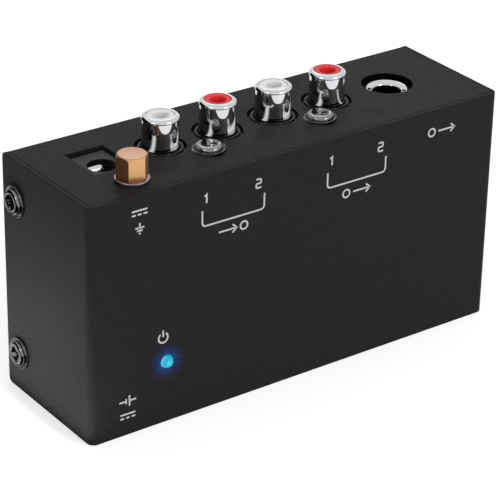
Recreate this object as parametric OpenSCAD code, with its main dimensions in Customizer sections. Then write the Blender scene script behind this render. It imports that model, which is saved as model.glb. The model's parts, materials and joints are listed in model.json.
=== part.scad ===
// Small two-channel phono preamplifier in a folded sheet-metal box, in millimetres.
// It stands on its narrow front panel: +Z points to the connector panel, -Y is the
// printed face, +Y is the face that is underneath in use, and X runs along the box.
// The origin is the centre of the front panel's outer face.

/* [Box] */
// Length of the box along X
box_l = 109; // [109:0.5:114]
// Depth along Y, from the printed face to the hidden face
box_d = 34; // [34:0.5:37]
// Height along Z, from the front panel to the connector panel
box_h = 56; // [56:0.5:60]
// Thickness of the folded sheet
sheet = 1; // [0.8:0.1:1.1]
// Outer radius of the bends of the cover
cover_bend = 1.8; // [1.4:0.1:2.2]
// Outer radius of the bends of the chassis
chassis_bend = 1.4; // [1.2:0.1:1.8]
// Gap between the cover and the chassis, all round
seam = 0.1; // [0.1:0.05:0.25]
// Height of the rubber feet on the hidden face
foot_h = 2; // [1.5:0.1:3]

/* [Board] */
// Thickness of the circuit board
board_t = 1.6; // [1:0.1:1.6]
// Distance of the board's component side from the hidden face
board_depth = 10; // [9.8:0.1:10.2]

/* [Pin jacks] */
// Distance between neighbouring sockets
socket_pitch = 14.8; // [14.6:0.1:15]
// Height of the socket axes above the board
axis_height = 6.2; // [6.1:0.1:6.4]
// Outside diameter of a shell
shell_d = 8.3; // [8.2:0.1:8.4]
// Height of a shell above the panel
shell_rise = 7.4; // [6.5:0.1:8]
// Hole for the plug's pin
pin_hole_d = 3.5; // [3.4:0.1:3.6]

/* [Phone jack] */
// Bore for the 6.35 mm plug
phone_bore_d = 6.5; // [6.4:0.1:6.6]
// Panel hole round the jack
phone_panel_d = 11.8; // [11.6:0.1:12.4]
// How far the bright ring lies below the panel's outer face
phone_recess = 1.1; // [0.6:0.1:1.4]

/* [Power socket] */
// Bore for the power plug
dc_bore_d = 6.4; // [6:0.1:6.6]
// Diameter of the centre pin
dc_pin_d = 2; // [1.9:0.1:2.1]

/* [Ground terminal] */
// Width of the brass nut across its flats
nut_af = 6.2; // [6:0.1:7]
// Height of the brass nut
nut_h = 5.3; // [5.2:0.1:6]
// Washer under the nut
washer_d = 7.6; // [7.4:0.1:9]
// Thread diameter of the stud
stud_d = 4; // [3.9:0.1:4]

/* [Lamp and switch] */
// Diameter of the lamp
led_d = 3; // [2.9:0.1:3.1]
// How far the lamp's dome stands out of the printed face
led_rise = 1.2; // [1:0.1:1.5]
// Travel of the selector slider
slider_travel = 3; // [2:0.1:3]

/* [Battery] */
// Length of the battery's case
battery_l = 46; // [45:0.5:46]
// Width of the battery
battery_w = 26.2; // [25.5:0.1:26.4]
// Thickness of the battery
battery_t = 17; // [16:0.1:17.2]

/* [Hidden] */
$fn = 64;

eps = 0.01;          // overlap of pieces joined inside one solid
fit = 0.05;          // clearance of a seated piece
run = 0.1;           // clearance round a sliding piece
past = 1;            // how far a cutter passes the face that it opens

// box
front_y = -box_d / 2;
back_y = box_d / 2;
inner_front_y = front_y + sheet;
inner_back_y = back_y - sheet;
panel_z = box_h - sheet;                 // inner face of the connector panel
chassis_l = box_l - 2 * sheet - 2 * seam;
chassis_d = box_d - sheet - seam;
flap_corner = 1.2;                       // rounding of the cover's free corners
tab_z = [5, box_h - 5];                  // the end tabs run between these heights
tab_depth = 10;
relief = 1;                              // bend relief beside each tab
free_corner = cover_bend - sheet - seam;
foot_r = 4.2;
foot_taper = 0.6;
foot_at = [for (x = [-46, 46], z = [8, box_h - 8]) [x, z]];

// cross-recess screws with a washer head
screw_head_r = 3.6;
screw_washer_t = 0.6;
screw_dome_r = 2.9;
screw_dome_h = 0.95;
screw_shank_r = 1.4;
screw_hole_r = 1.7;                      // clearance hole for the shank
screw_l = 5;
cross_w = 1;
cross_l = 4.2;
cross_depth = 1;
cover_screw_y = back_y - 5.45;
cover_screw_at = [for (z = [9.6, box_h - 9.6]) [cover_screw_y, z]];

// board
board_y = back_y - board_depth;          // component side; parts stand towards -Y
board_back_y = board_y + board_t;
board_half = chassis_l / 2 - sheet - 0.85;
board_top = panel_z - 0.7;
board_strip_z = 31.5;                    // lower edge of the strip behind the sockets
board_leg_x = -29;                       // right edge of the leg beside the battery
board_foot_z = 2;
board_hole_r = 1.6;
standoff_af = 5;
board_screw_head_r = 2.6;
board_screw_head_h = 1.6;
standoff_at = [[-48.5, 51.5], [48.5, 51.5], [48.5, 35], [-32, 11.3]];

// pin jacks
axis_y = board_y - axis_height;
first_x = -25.1;
socket_x = [for (i = [0:3]) first_x + i * socket_pitch];
block_w = socket_pitch + 13.6;
block_h = 9.8;
block_z = panel_z - block_h;
collar_r = 4.95;
collar_drop = 0.15;                      // collar's top below the panel's outer face
socket_panel_r = 5.7;
shell_r = shell_d / 2;
shell_wall = 0.5;
shell_step = 0.2;                        // how much slimmer the shell is where the block holds it
shell_sink = 5;                          // length of shell below the panel's outer face
lip_r = 3.1;
lip_t = 0.45;
insulator_r = shell_r - shell_wall - fit;
insulator_sink = 6.4;
neck_l = 3.2;                            // length of the small hole at the mouth
flare_r = 2;
flare_l = 1;
contact_r = 1.95;
contact_wall = 0.4;
contact_sink = 9;
contact_slot = [0.6, 6, 4];              // width, reach and start of the slot in the contact
lug_y = axis_y - 7.5;                    // screw lug between the two sockets
lug_r = 3.5;
lug_h = 7;
peg_r = 0.9;
block_hollow_w = 3.6;                    // moulded hollow between the two sockets

// 6.35 mm jack
phone_x = 36.6;
phone_w = 15.6;
phone_top = panel_z - 0.6;
phone_bottom = 32;
phone_wall = 1.2;
ferrule_r = 4.8;
ferrule_l = 6;
ferrule_top = box_h - phone_recess;
ferrule_flare = [1.2, 0.65];             // width and depth of the funnel at its mouth
ferrule_rim = 0.25;
spring_t = 0.35;
spring_w = 3;

// power socket
dc_x = -40;
dc_axis_y = board_y - 6.5;
dc_w = 9;
dc_h = 11;
dc_face_z = box_h - 0.7;
dc_face_t = 3.4;
dc_pin_drop = 2.7;                       // centre of the pin's round tip below the socket's face
dc_spring_w = 3.8;
dc_l = 14.2;
dc_bore_l = 10;
dc_cut = [9.4, 12];                      // panel cut-out
dc_cut_at = [-39.9, board_y - 5.1];      // its centre

// ground terminal
ground_x = -39.4;
ground_y = -10.2;
washer_t = 0.8;
stud_up = 4.4;                           // stud above the panel
stud_down = 8;                           // stud below the panel's outer face
lug_sheet = 0.5;
lug_arm = [9, 3, 5];                     // reach, width and drop of the solder lug
lock_nut_h = 3;
nut_turned = 0.55;                       // height turned down to a round top
nut_turn = -14;                          // how the tightened nut happens to stand

// lamp and switch
led_x = -35.2;
led_z = 14.8;
led_l = 5.3;
led_flange_r = 1.9;
led_pitch = 2.54;
switch_x = -38.9;
switch_w = 13;
switch_h = 5.6;
switch_l = 6.6;
switch_z = sheet + 0.4;
slider_w = 3.5;
slider_t = 3;
slider_y = board_y - 2.8;
slider_tip_z = 0.4;
slider_base_l = 2.4;
slider_base_w = 6;

// battery compartment
wall = 1.2;
tray_in_x = [-21.3, 35.3];               // inside of the tray
tray_in_z = [2.8, 29.8];
tray_floor_y = inner_back_y - 20.2;
hinge_r = 2;                             // outer radius of the door at its hinge
hinge_x = tray_in_x[0] + hinge_r + 0.3;
hinge_y = back_y - hinge_r;
door_t = 1.8;
door_gap = 0.15;
door_end_x = tray_in_x[1] - 0.3;
knuckle_r = 1.4;
knuckle_l = 4;
pin_r = 0.7;
door_pin_l = 1;
door_free_z = [tray_in_z[0] + door_gap, tray_in_z[1] - door_gap];
grip_ribs = 5;
terminal_r = [2.8, 3.9];
terminal_l = 2.8;
terminal_gap = 12.7;
battery_x = hinge_x + knuckle_r + 0.2;
battery_z = (tray_in_z[0] + tray_in_z[1]) / 2;
battery_y = tray_floor_y + wall + 0.2;
snap_t = 4;
ear = [6, 2, 8];
ear_y = inner_back_y - 5;
ear_x = [for (s = [0, 1]) s == 0 ? tray_in_x[0] - wall - ear[0] / 2 : tray_in_x[1] + wall + ear[0] / 2];
lead_r = 0.65;

// ---------- helpers ----------

// Upright slab with two round corners on the line y = 0, centred on x
module round_ended(w, d, r) {
    translate([-w / 2 + r, 0]) square([w - 2 * r, d]);
    translate([-w / 2, r]) square([w, d - r]);
    for (s = [-1, 1]) translate([s * (w / 2 - r), r]) circle(r);
}

// Sheet folded into a U that is open towards +y
module folded_strip(w, d, t, r) {
    difference() {
        round_ended(w, d, r);
        translate([0, t]) round_ended(w - 2 * t, d, r - t);
    }
}

module round_rect(w, d, r) {
    square([w - 2 * r, d], center = true);
    square([w, d - 2 * r], center = true);
    for (x = [-1, 1], y = [-1, 1]) translate([x * (w / 2 - r), y * (d / 2 - r)]) circle(r);
}

// Extrudes a (Y, Z) outline along X, centred
module along_x(l) {
    translate([-l / 2, 0, 0]) rotate([90, 0, 90]) linear_extrude(l) children();
}

// Cylinder along Y, from y0 towards -Y
module rod_y(x, y0, z, r, l) {
    translate([x, y0, z]) rotate([90, 0, 0]) cylinder(r = r, h = l);
}

// What is cut away to round a corner of radius r
module corner_waste(r) {
    difference() {
        square(r + past);
        circle(r);
    }
}

// Washer-head screw: the head stands on z = 0, the shank points down
module washer_screw(l) {
    difference() {
        union() {
            cylinder(r = screw_head_r, h = screw_washer_t);
            rotate_extrude() screw_dome_outline();
        }
        translate([0, 0, screw_washer_t + screw_dome_h - cross_depth]) cross_recess();
    }
    translate([0, 0, -l]) cylinder(r = screw_shank_r, h = l + eps);
}

module screw_dome_outline() {
    edge = 0.6;
    top = screw_washer_t + screw_dome_h;
    square([screw_dome_r, top - edge]);
    square([screw_dome_r - edge, top]);
    translate([screw_dome_r - edge, top - edge]) circle(edge);
}

module cross_recess() {
    for (a = [0, 90]) rotate(a)
        translate([-cross_l / 2, -cross_w / 2, 0]) cube([cross_l, cross_w, cross_depth + past]);
    cylinder(r = cross_w, h = cross_depth + past);
}

// Leaf spring: a path of [across, up] points given a thickness
function leaf(path, t) = concat(path, [for (i = [len(path) - 1:-1:0]) path[i] + [t, 0]]);

// ---------- box ----------

module cover() {
    color("#26272a") difference() {
        translate([0, front_y, 0]) linear_extrude(box_h)
            folded_strip(box_l, box_d, sheet, cover_bend);
        rod_y(led_x, front_y + 2 * sheet, led_z, led_d / 2 + fit, 4 * sheet);
        for (p = cover_screw_at) translate([-box_l, p[0], p[1]]) rotate([0, 90, 0])
            cylinder(r = screw_hole_r, h = 2 * box_l);
        for (m = [0, 1]) translate([0, 0, m * box_h]) mirror([0, 0, 1 - m])
            along_x(box_l + 2 * past) translate([back_y - flap_corner, -flap_corner])
                corner_waste(flap_corner);
    }
}

// One end tab with its bend, as an (X, Y) outline on the +X side
module tab_outline() {
    x = chassis_l / 2;
    translate([x - sheet, inner_back_y - tab_depth])
        square([sheet, tab_depth + sheet - chassis_bend]);
    intersection() {
        translate([x - chassis_bend, back_y - chassis_bend]) difference() {
            circle(chassis_bend);
            circle(chassis_bend - sheet);
        }
        translate([x - chassis_bend - eps, back_y - chassis_bend - eps]) square(chassis_bend + past);
    }
}

module connector_panel_cuts() {
    cut_h = sheet + 2 * past;
    translate([0, 0, panel_z - past]) {
        for (x = socket_x) translate([x, axis_y, 0]) cylinder(r = socket_panel_r, h = cut_h);
        for (x = [socket_x[0], socket_x[2]]) translate([x + socket_pitch / 2, lug_y, 0])
            cylinder(r = screw_hole_r, h = cut_h);
        translate([phone_x, axis_y, 0]) cylinder(r = phone_panel_d / 2, h = cut_h);
        translate([ground_x, ground_y, 0]) cylinder(r = stud_d / 2 + fit, h = cut_h);
        translate([dc_cut_at[0] - dc_cut[0] / 2, dc_cut_at[1] - dc_cut[1] / 2, 0])
            cube([dc_cut[0], dc_cut[1], cut_h]);
    }
}

module chassis() {
    tab_h = tab_z[1] - tab_z[0];
    slot_l = slider_w + slider_travel + 1;
    color("#34353a") difference() {
        union() {
            difference() {
                translate([0, back_y, box_h / 2]) along_x(chassis_l)
                    rotate(90) folded_strip(box_h, chassis_d, sheet, chassis_bend);
                for (s = [0, 1]) mirror([s, 0, 0])
                    translate([chassis_l / 2 - chassis_bend, inner_back_y - eps, tab_z[0] - relief])
                        cube([box_l, 2 * sheet, tab_h + 2 * relief]);
            }
            for (s = [0, 1]) mirror([s, 0, 0])
                translate([0, 0, tab_z[0]]) linear_extrude(tab_h) tab_outline();
        }
        connector_panel_cuts();
        // free corners follow the cover's bend
        for (s = [0, 1]) mirror([s, 0, 0])
            translate([chassis_l / 2 - free_corner, inner_front_y + seam + free_corner, -past])
                linear_extrude(box_h + 2 * past) mirror([0, 1]) corner_waste(free_corner);
        for (p = cover_screw_at) translate([-box_l, p[0], p[1]]) rotate([0, 90, 0])
            cylinder(r = screw_shank_r + fit, h = 2 * box_l);
        translate([switch_x - slot_l / 2, slider_y - slider_t / 2 - 0.6, -past])
            cube([slot_l, slider_t + 1.2, sheet + 2 * past]);
        translate([tray_in_x[0], inner_back_y - past, tray_in_z[0]])
            cube([tray_in_x[1] - tray_in_x[0], sheet + 2 * past, tray_in_z[1] - tray_in_z[0]]);
    }
}

module cover_screws() {
    color("#b9bbbe") for (s = [0, 1]) mirror([s, 0, 0]) for (p = cover_screw_at)
        translate([box_l / 2, p[0], p[1]]) rotate([0, 90, 0]) washer_screw(screw_l);
}

module rubber_feet() {
    color("#1c1c1c") for (p = foot_at) translate([p[0], back_y, p[1]]) rotate([-90, 0, 0])
        rotate_extrude() difference() {
            polygon([[0, 0], [foot_r, 0], [foot_r - foot_taper, foot_h], [0, foot_h]]);
            translate([0, foot_h]) circle(foot_r / 3);
        }
}

// ---------- board ----------

module board_outline() {
    translate([-board_half, board_strip_z])
        square([2 * board_half, board_top - board_strip_z]);
    translate([-board_half, board_foot_z])
        square([board_half + board_leg_x, board_strip_z - board_foot_z + eps]);
}

module circuit_board() {
    color("#2f6b3a") translate([0, board_back_y, 0]) rotate([90, 0, 0]) linear_extrude(board_t)
        difference() {
            board_outline();
            for (p = standoff_at) translate(p) circle(board_hole_r);
            for (x = socket_x) translate([x, block_z + block_h / 2]) circle(peg_r + fit);
        }
}

module clinch_standoffs() {
    color("#a9abad") {
        for (p = standoff_at) translate([p[0], inner_back_y, p[1]])
            tapped_post(inner_back_y - board_back_y);
        for (x = ear_x) translate([x, inner_back_y, battery_z])
            tapped_post(inner_back_y - ear_y);
    }
}

// Six-sided post standing on the hidden face, pointing to -Y
module tapped_post(l) {
    bore_r = 1.3;
    floor_t = 0.5;
    rotate([90, 0, 0]) difference() {
        cylinder(d = standoff_af / cos(30), h = l, $fn = 6);
        translate([0, 0, floor_t]) cylinder(r = bore_r, h = l);
    }
}

// Pan-head screw on a face at y, its shank pointing to +Y
module pan_screw(x, y, z, l) {
    shank_r = 1.25;
    translate([x, y, z]) rotate([90, 0, 0]) {
        difference() {
            cylinder(r = board_screw_head_r, h = board_screw_head_h);
            translate([0, 0, board_screw_head_h - cross_depth]) cross_recess();
        }
        translate([0, 0, -l]) cylinder(r = shank_r, h = l + eps);
    }
}

module board_screws() {
    color("#b9bbbe") for (p = standoff_at) pan_screw(p[0], board_y, p[1], 5.5);
}

module tray_screws() {
    color("#b9bbbe") for (x = ear_x) pan_screw(x, ear_y - ear[1], battery_z, 5);
}

// ---------- pin jacks ----------

module jack_block(i) {
    mid = socket_x[i] + socket_pitch / 2;
    front = axis_y - axis_height;
    color("#18181a") difference() {
        union() {
            translate([mid - block_w / 2, front, block_z])
                cube([block_w, board_y - front, block_h]);
            translate([mid, lug_y, panel_z - lug_h]) cylinder(r = lug_r, h = lug_h);
            translate([mid - lug_r, lug_y, panel_z - lug_h])
                cube([2 * lug_r, front - lug_y + eps, lug_h]);
            for (k = [i, i + 1]) {
                translate([socket_x[k], axis_y, panel_z - eps])
                    cylinder(r = collar_r, h = sheet - collar_drop + eps);
                rod_y(socket_x[k], board_back_y, block_z + block_h / 2, peg_r, board_t + eps);
            }
        }
        for (k = [i, i + 1]) translate([socket_x[k], axis_y, 0]) {
            translate([0, 0, box_h - shell_sink])
                cylinder(r = shell_r - shell_step + fit, h = 2 * shell_sink);
            translate([0, 0, box_h - insulator_sink]) cylinder(r = insulator_r + fit, h = shell_sink);
            translate([0, 0, block_z - past]) cylinder(r = contact_r + fit, h = block_h);
        }
        translate([mid, lug_y, 0]) cylinder(r = screw_shank_r + fit, h = box_h);
        // moulded hollow between the two sockets, open underneath
        translate([mid - block_hollow_w / 2, front + wall, block_z - past])
            cube([block_hollow_w, 2 * axis_height - 2 * wall, block_h - 2 * wall]);
    }
}

module pin_shell(i) {
    top = box_h + shell_rise;
    color("#d5d7da") translate([socket_x[i], axis_y, 0]) rotate_extrude() {
        translate([shell_r - shell_wall, box_h - shell_sink])
            square([shell_wall - shell_step, shell_sink + eps]);
        translate([shell_r - shell_wall, box_h])
            square([shell_wall, shell_rise - shell_wall + eps]);
        translate([shell_r - shell_wall, top - shell_wall]) intersection() {
            circle(shell_wall);
            square(shell_wall);
        }
        translate([lip_r + lip_t / 2, top - lip_t])
            square([shell_r - shell_wall - lip_r - lip_t / 2 + eps, lip_t]);
        translate([lip_r + lip_t / 2, top - lip_t / 2]) circle(lip_t / 2);
    }
}

module pin_insulator(i, tint) {
    top = box_h + shell_rise;
    shoulder = top - lip_t - fit;
    color(tint) translate([socket_x[i], axis_y, 0]) difference() {
        rotate_extrude() {
            translate([0, box_h - insulator_sink]) square([insulator_r, shoulder - box_h + insulator_sink]);
            translate([0, shoulder - eps]) square([lip_r - fit, lip_t - 0.1]);
        }
        translate([0, 0, box_h - insulator_sink - past])
            cylinder(r = contact_r + fit, h = insulator_sink + shell_rise - neck_l + past);
        cylinder(d = pin_hole_d, h = top + past);
        translate([0, 0, top - flare_l]) cylinder(r1 = pin_hole_d / 2, r2 = flare_r, h = flare_l);
    }
}

module centre_contact(i) {
    l = contact_sink + shell_rise - neck_l - 0.3;
    color("#c9b27a") translate([socket_x[i], axis_y, box_h - contact_sink]) difference() {
        cylinder(r = contact_r, h = l);
        translate([0, 0, -past]) cylinder(r = contact_r - contact_wall, h = l + 2 * past);
        translate([-contact_slot[0] / 2, -contact_slot[1] / 2, contact_slot[2]])
            cube([contact_slot[0], contact_slot[1], l]);
    }
}

module jack_block_screws() {
    color("#b9bbbe") for (i = [0, 2]) translate([socket_x[i] + socket_pitch / 2, lug_y, box_h])
        rotate(-34) washer_screw(screw_l);
}

// ---------- 6.35 mm jack ----------

module phone_jack_body() {
    front = axis_y - axis_height;
    seat = ferrule_top - ferrule_l;
    window_w = spring_w + 0.6;
    window_z = phone_bottom + 2;
    side_window_l = 14;
    front_window_l = 10;
    side_window_x = 2;
    color("#141416") difference() {
        translate([phone_x - phone_w / 2, front, phone_bottom])
            cube([phone_w, board_y - front, phone_top - phone_bottom]);
        translate([phone_x, axis_y, phone_bottom + phone_wall])
            cylinder(r = phone_bore_d / 2 + 0.3, h = box_h);
        translate([phone_x, axis_y, seat]) cylinder(r = ferrule_r + fit, h = box_h);
        // windows for the leaf springs, on both sides and towards the printed face
        for (s = [0, 1]) translate([phone_x, 0, 0]) mirror([s, 0, 0])
            translate([side_window_x, axis_y - window_w / 2, window_z])
                cube([phone_w, window_w, side_window_l]);
        translate([phone_x - window_w / 2, front - past, window_z])
            cube([window_w, 4 * past, front_window_l]);
    }
}

module phone_jack_ferrule() {
    r = phone_bore_d / 2;
    z = ferrule_top - ferrule_l;
    color("#d5d7da") translate([phone_x, axis_y, z]) rotate_extrude()
        polygon([
            [r, 0], [ferrule_r, 0], [ferrule_r, ferrule_l - ferrule_rim],
            [ferrule_r - ferrule_rim, ferrule_l], [r + ferrule_flare[0], ferrule_l],
            [r, ferrule_l - ferrule_flare[1]]
        ]);
}

// Leaf with a hump that presses on the plug, standing in the jack's side window
module phone_spring(side, hump_z) {
    out = phone_w / 2 - 0.9;
    root_z = phone_bottom + 2.3;
    tip_z = phone_bottom + 15;
    hump_x = phone_bore_d / 2 + 0.55;
    path = [[out, root_z], [out, hump_z - 4], [hump_x, hump_z], [out - 1.4, tip_z]];
    translate([phone_x, axis_y, 0]) mirror([side, 0, 0])
        translate([0, spring_w / 2, 0]) rotate([90, 0, 0]) linear_extrude(spring_w)
            polygon(leaf(path, spring_t));
}

module phone_jack_tip_spring() { color("#cfc6a4") phone_spring(0, phone_bottom + 8); }
module phone_jack_ring_spring() { color("#cfc6a4") phone_spring(1, phone_bottom + 11); }

module phone_jack_sleeve_spring() {
    out = axis_height - 0.5;
    root_z = phone_bottom + 2.3;
    path = [[out, root_z], [out, root_z + 3], [phone_bore_d / 2 + 0.55, root_z + 6], [out - 1, root_z + 9]];
    color("#cfc6a4") translate([phone_x, axis_y, 0]) rotate(-90)
        translate([0, spring_w / 2, 0]) rotate([90, 0, 0]) linear_extrude(spring_w)
            polygon(leaf(path, spring_t));
}

// ---------- power socket ----------

module dc_jack_body() {
    barrel_r = dc_w / 2;
    tail = dc_face_z - dc_l;
    slot_w = dc_spring_w + 0.6;          // room for the spring, open into the bore
    slot_y = dc_axis_y + 1.5;
    slot_d = 2.9;
    slot_end = 1.2;
    color("#161618") translate([dc_x, 0, 0]) difference() {
        union() {
            translate([-dc_w / 2, board_y - dc_h, dc_face_z - dc_face_t])
                cube([dc_w, dc_h, dc_face_t]);
            translate([0, dc_axis_y, tail]) cylinder(r = barrel_r, h = dc_l - eps);
            translate([-dc_w / 2, dc_axis_y, tail])
                cube([dc_w, board_y - dc_axis_y, dc_l - dc_face_t + eps]);
        }
        translate([0, dc_axis_y, dc_face_z - dc_bore_l]) cylinder(d = dc_bore_d, h = dc_l);
        translate([0, dc_axis_y, tail - past]) cylinder(d = dc_pin_d + 2 * fit, h = dc_l);
        translate([-slot_w / 2, slot_y, tail + 1]) cube([slot_w, slot_d, dc_l - 1 - slot_end]);
    }
}

module dc_jack_pin() {
    tail = dc_face_z - dc_l;
    tip = dc_face_z - dc_pin_drop;
    color("#d5d7da") translate([dc_x, dc_axis_y, 0]) {
        translate([0, 0, tail]) cylinder(d = dc_pin_d, h = tip - tail);
        translate([0, 0, tip]) sphere(d = dc_pin_d);
    }
}

module dc_jack_spring() {
    base = dc_face_z - dc_l + 1.4;
    path = [[3.6, base], [3.6, base + 3], [1.9, dc_face_z - 2.3], [2.95, dc_face_z - 1.3]];
    color("#d5d7da") translate([dc_x, dc_axis_y, 0]) rotate(90)
        translate([0, dc_spring_w / 2, 0]) rotate([90, 0, 0]) linear_extrude(dc_spring_w)
            polygon(leaf(path, spring_t));
}

// ---------- ground terminal ----------

module hexagon_bar(h) { cylinder(d = nut_af / cos(30), h = h, $fn = 6); }

module ground_stud() {
    color("#b98b4a") translate([ground_x, ground_y, box_h - stud_down])
        cylinder(d = stud_d, h = stud_down + stud_up);
}

module ground_lug() {
    color("#c8c9cb") translate([ground_x, ground_y, panel_z - lug_sheet]) difference() {
        union() {
            cylinder(r = washer_d / 2 - 0.5, h = lug_sheet);
            translate([0, -lug_arm[1] / 2, 0]) cube([lug_arm[0], lug_arm[1], lug_sheet]);
            translate([lug_arm[0] - lug_sheet, -lug_arm[1] / 2, -lug_arm[2]])
                cube([lug_sheet, lug_arm[1], lug_arm[2] + lug_sheet]);
        }
        translate([0, 0, -past]) cylinder(r = stud_d / 2 + fit, h = lug_sheet + 2 * past);
    }
}

module ground_lock_nut() {
    color("#c8c9cb") translate([ground_x, ground_y, panel_z - lug_sheet - lock_nut_h]) difference() {
        hexagon_bar(lock_nut_h);
        translate([0, 0, -past]) cylinder(r = stud_d / 2 + fit, h = lock_nut_h + 2 * past);
    }
}

module ground_washer() {
    color("#cdb7b2") translate([ground_x, ground_y, box_h]) difference() {
        cylinder(d = washer_d, h = washer_t);
        translate([0, 0, -past]) cylinder(r = stud_d / 2 + 2 * fit, h = washer_t + 2 * past);
    }
}

// Closed hexagon nut; its top is turned down to a round face
module ground_nut() {
    corner_r = nut_af / 2 / cos(30);
    top_r = nut_af / 2 - 0.1;
    foot_edge = 0.2;
    wide = corner_r + 0.5;               // the turning stays clear of the corners
    slope = nut_turned / (corner_r - top_r);
    bore_l = stud_up - washer_t + 0.5;
    color("#c48a4e") translate([ground_x, ground_y, box_h + washer_t]) difference() {
        intersection() {
            rotate(nut_turn) hexagon_bar(nut_h);
            rotate_extrude() polygon([
                [0, 0], [corner_r - foot_edge, 0], [wide, wide - corner_r + foot_edge],
                [wide, nut_h - slope * (wide - top_r)], [top_r, nut_h], [0, nut_h]
            ]);
        }
        translate([0, 0, -past]) cylinder(r = stud_d / 2 + fit, h = bore_l + past);
    }
}

// ---------- lamp and switch ----------

module indicator_led() {
    base_y = front_y - led_rise + led_l;
    color("#3fb4ff") translate([led_x, base_y, led_z]) rotate([90, 0, 0]) {
        cylinder(r = led_flange_r, h = 1);
        cylinder(d = led_d, h = led_l - led_d / 2);
        translate([0, 0, led_l - led_d / 2]) sphere(d = led_d);
    }
}

module led_leads() {
    base_y = front_y - led_rise + led_l;
    wire = 0.5;
    color("#c8c9cb") for (s = [-1, 1])
        translate([led_x + s * led_pitch / 2 - wire / 2, base_y, led_z - wire / 2])
            cube([wire, board_y - base_y, wire]);
}

module selector_switch_body() {
    channel = slider_w + slider_travel + 2 * run;
    cavity = slider_base_w + slider_travel + 2 * run;
    color("#b4b6b9") difference() {
        translate([switch_x - switch_w / 2, board_y - switch_h, switch_z])
            cube([switch_w, switch_h, switch_l]);
        translate([switch_x - channel / 2, slider_y - slider_t / 2 - run, switch_z - past])
            cube([channel, slider_t + 2 * run, 3]);
        translate([switch_x - cavity / 2, slider_y - slider_t / 2 - run, switch_z + 1])
            cube([cavity, slider_t + 2 * run, slider_base_l + 2 * run]);
    }
}

module selector_slider() {
    x = switch_x - slider_travel / 2;
    neck = switch_z + 1 + run - slider_tip_z;
    color("#202022") {
        translate([x - slider_base_w / 2, slider_y - slider_t / 2, switch_z + 1 + run])
            cube([slider_base_w, slider_t, slider_base_l]);
        difference() {
            translate([x - slider_w / 2, slider_y - slider_t / 2, slider_tip_z])
                cube([slider_w, slider_t, neck + eps]);
            for (k = [-1, 0, 1]) translate([x + k - 0.25, slider_y - slider_t, slider_tip_z - past])
                cube([0.5, 2 * slider_t, past + 0.3]);
        }
    }
}

// ---------- components ----------

part_row_z = 38.8;   // middle of the row of parts under the sockets

module dip_chip(x, z) {
    l = 9.4;
    w = 6.4;
    h = 3.3;
    leg = [0.5, 0.6, 2.4];
    translate([x, board_y, z]) rotate([90, 0, 0]) {
        difference() {
            translate([-l / 2, -w / 2, 0.6]) cube([l, w, h]);
            translate([-l / 2, 0, h]) cylinder(r = 0.8, h = h);
        }
        for (k = [0:3], s = [0, 1]) mirror([0, s, 0])
            translate([(k - 1.5) * led_pitch - leg[0] / 2, w / 2 - eps, 0]) cube(leg);
    }
}

module op_amp_chips() {
    color("#1b1b1d") for (x = [-20.6, 3.2]) dip_chip(x, part_row_z);
}

module can_capacitor(x, z, r, h) {
    translate([x, board_y, z]) rotate([90, 0, 0]) rotate_extrude() {
        square([r, 1.2]);
        square([r - 0.35, 2.2]);
        translate([0, 2]) square([r, h - 2.4]);
        square([r - 0.4, h]);
    }
}

module electrolytic_capacitors() {
    color("#23304e") {
        for (x = [-28.7, -10, -4.6, 13.8]) can_capacitor(x, part_row_z, 2.5, 11);
        for (z = [16, 24.5]) can_capacitor(-46.5, z, 3.15, 11.5);
        can_capacitor(-45.5, 35.2, 4, 13);
    }
}

module film_capacitors() {
    color("#9c2f24") for (x = [-32.7, -14, 9.6])
        translate([x, board_y, part_row_z]) rotate([90, 0, 0]) linear_extrude(6.5) round_rect(2.4, 7.2, 0.8);
}

// Body between two leads that bend down into the board
module axial_part(x, z, body_r, body_l, span) {
    lift = body_r + 0.2;
    cap_l = 1.2;
    wire_r = 0.3;
    translate([x, board_y - lift, z]) {
        translate([-body_l / 2, 0, 0]) rotate([0, 90, 0]) cylinder(r = body_r * 0.86, h = body_l);
        for (s = [0, 1]) mirror([s, 0, 0]) {
            translate([body_l / 2 - cap_l, 0, 0]) rotate([0, 90, 0]) cylinder(r = body_r, h = cap_l);
            rotate([0, 90, 0]) cylinder(r = wire_r, h = span / 2);
            translate([span / 2, 0, 0]) sphere(r = wire_r);
            translate([span / 2, lift, 0]) rotate([90, 0, 0]) cylinder(r = wire_r, h = lift);
        }
    }
}

module resistors() {
    color("#6fa3bd") {
        for (i = [0:4]) axial_part(-24.5 + i * 11, 33.2, 1.15, 6, 9);
        for (i = [0:2]) axial_part(-38.2, 18.5 + i * 3.6, 1.15, 6, 9);
    }
}

module voltage_regulator() {
    color("#1b1b1d") translate([20, board_y, part_row_z]) rotate([90, 0, 0]) {
        translate([0, 0, 3]) intersection() {
            cylinder(r = 2.4, h = 4.6);
            translate([-3, -3, 0]) cube([6, 4.4, 4.6]);
        }
        for (k = [-1, 0, 1]) translate([k * 1.27 - 0.2, -0.2, 0]) cube([0.4, 0.4, 3 + eps]);
    }
}

module polarity_diode() {
    color("#1b1b1d") axial_part(-36.5, 30.5, 1.35, 5.2, 9.6);
}

// ---------- battery compartment ----------

module tray_shell() {
    w = tray_in_x[1] - tray_in_x[0] + 2 * wall;
    h = tray_in_z[1] - tray_in_z[0] + 2 * wall;
    translate([tray_in_x[0] - wall, tray_floor_y, tray_in_z[0] - wall])
        cube([w, inner_back_y - tray_floor_y, h]);
}

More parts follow.
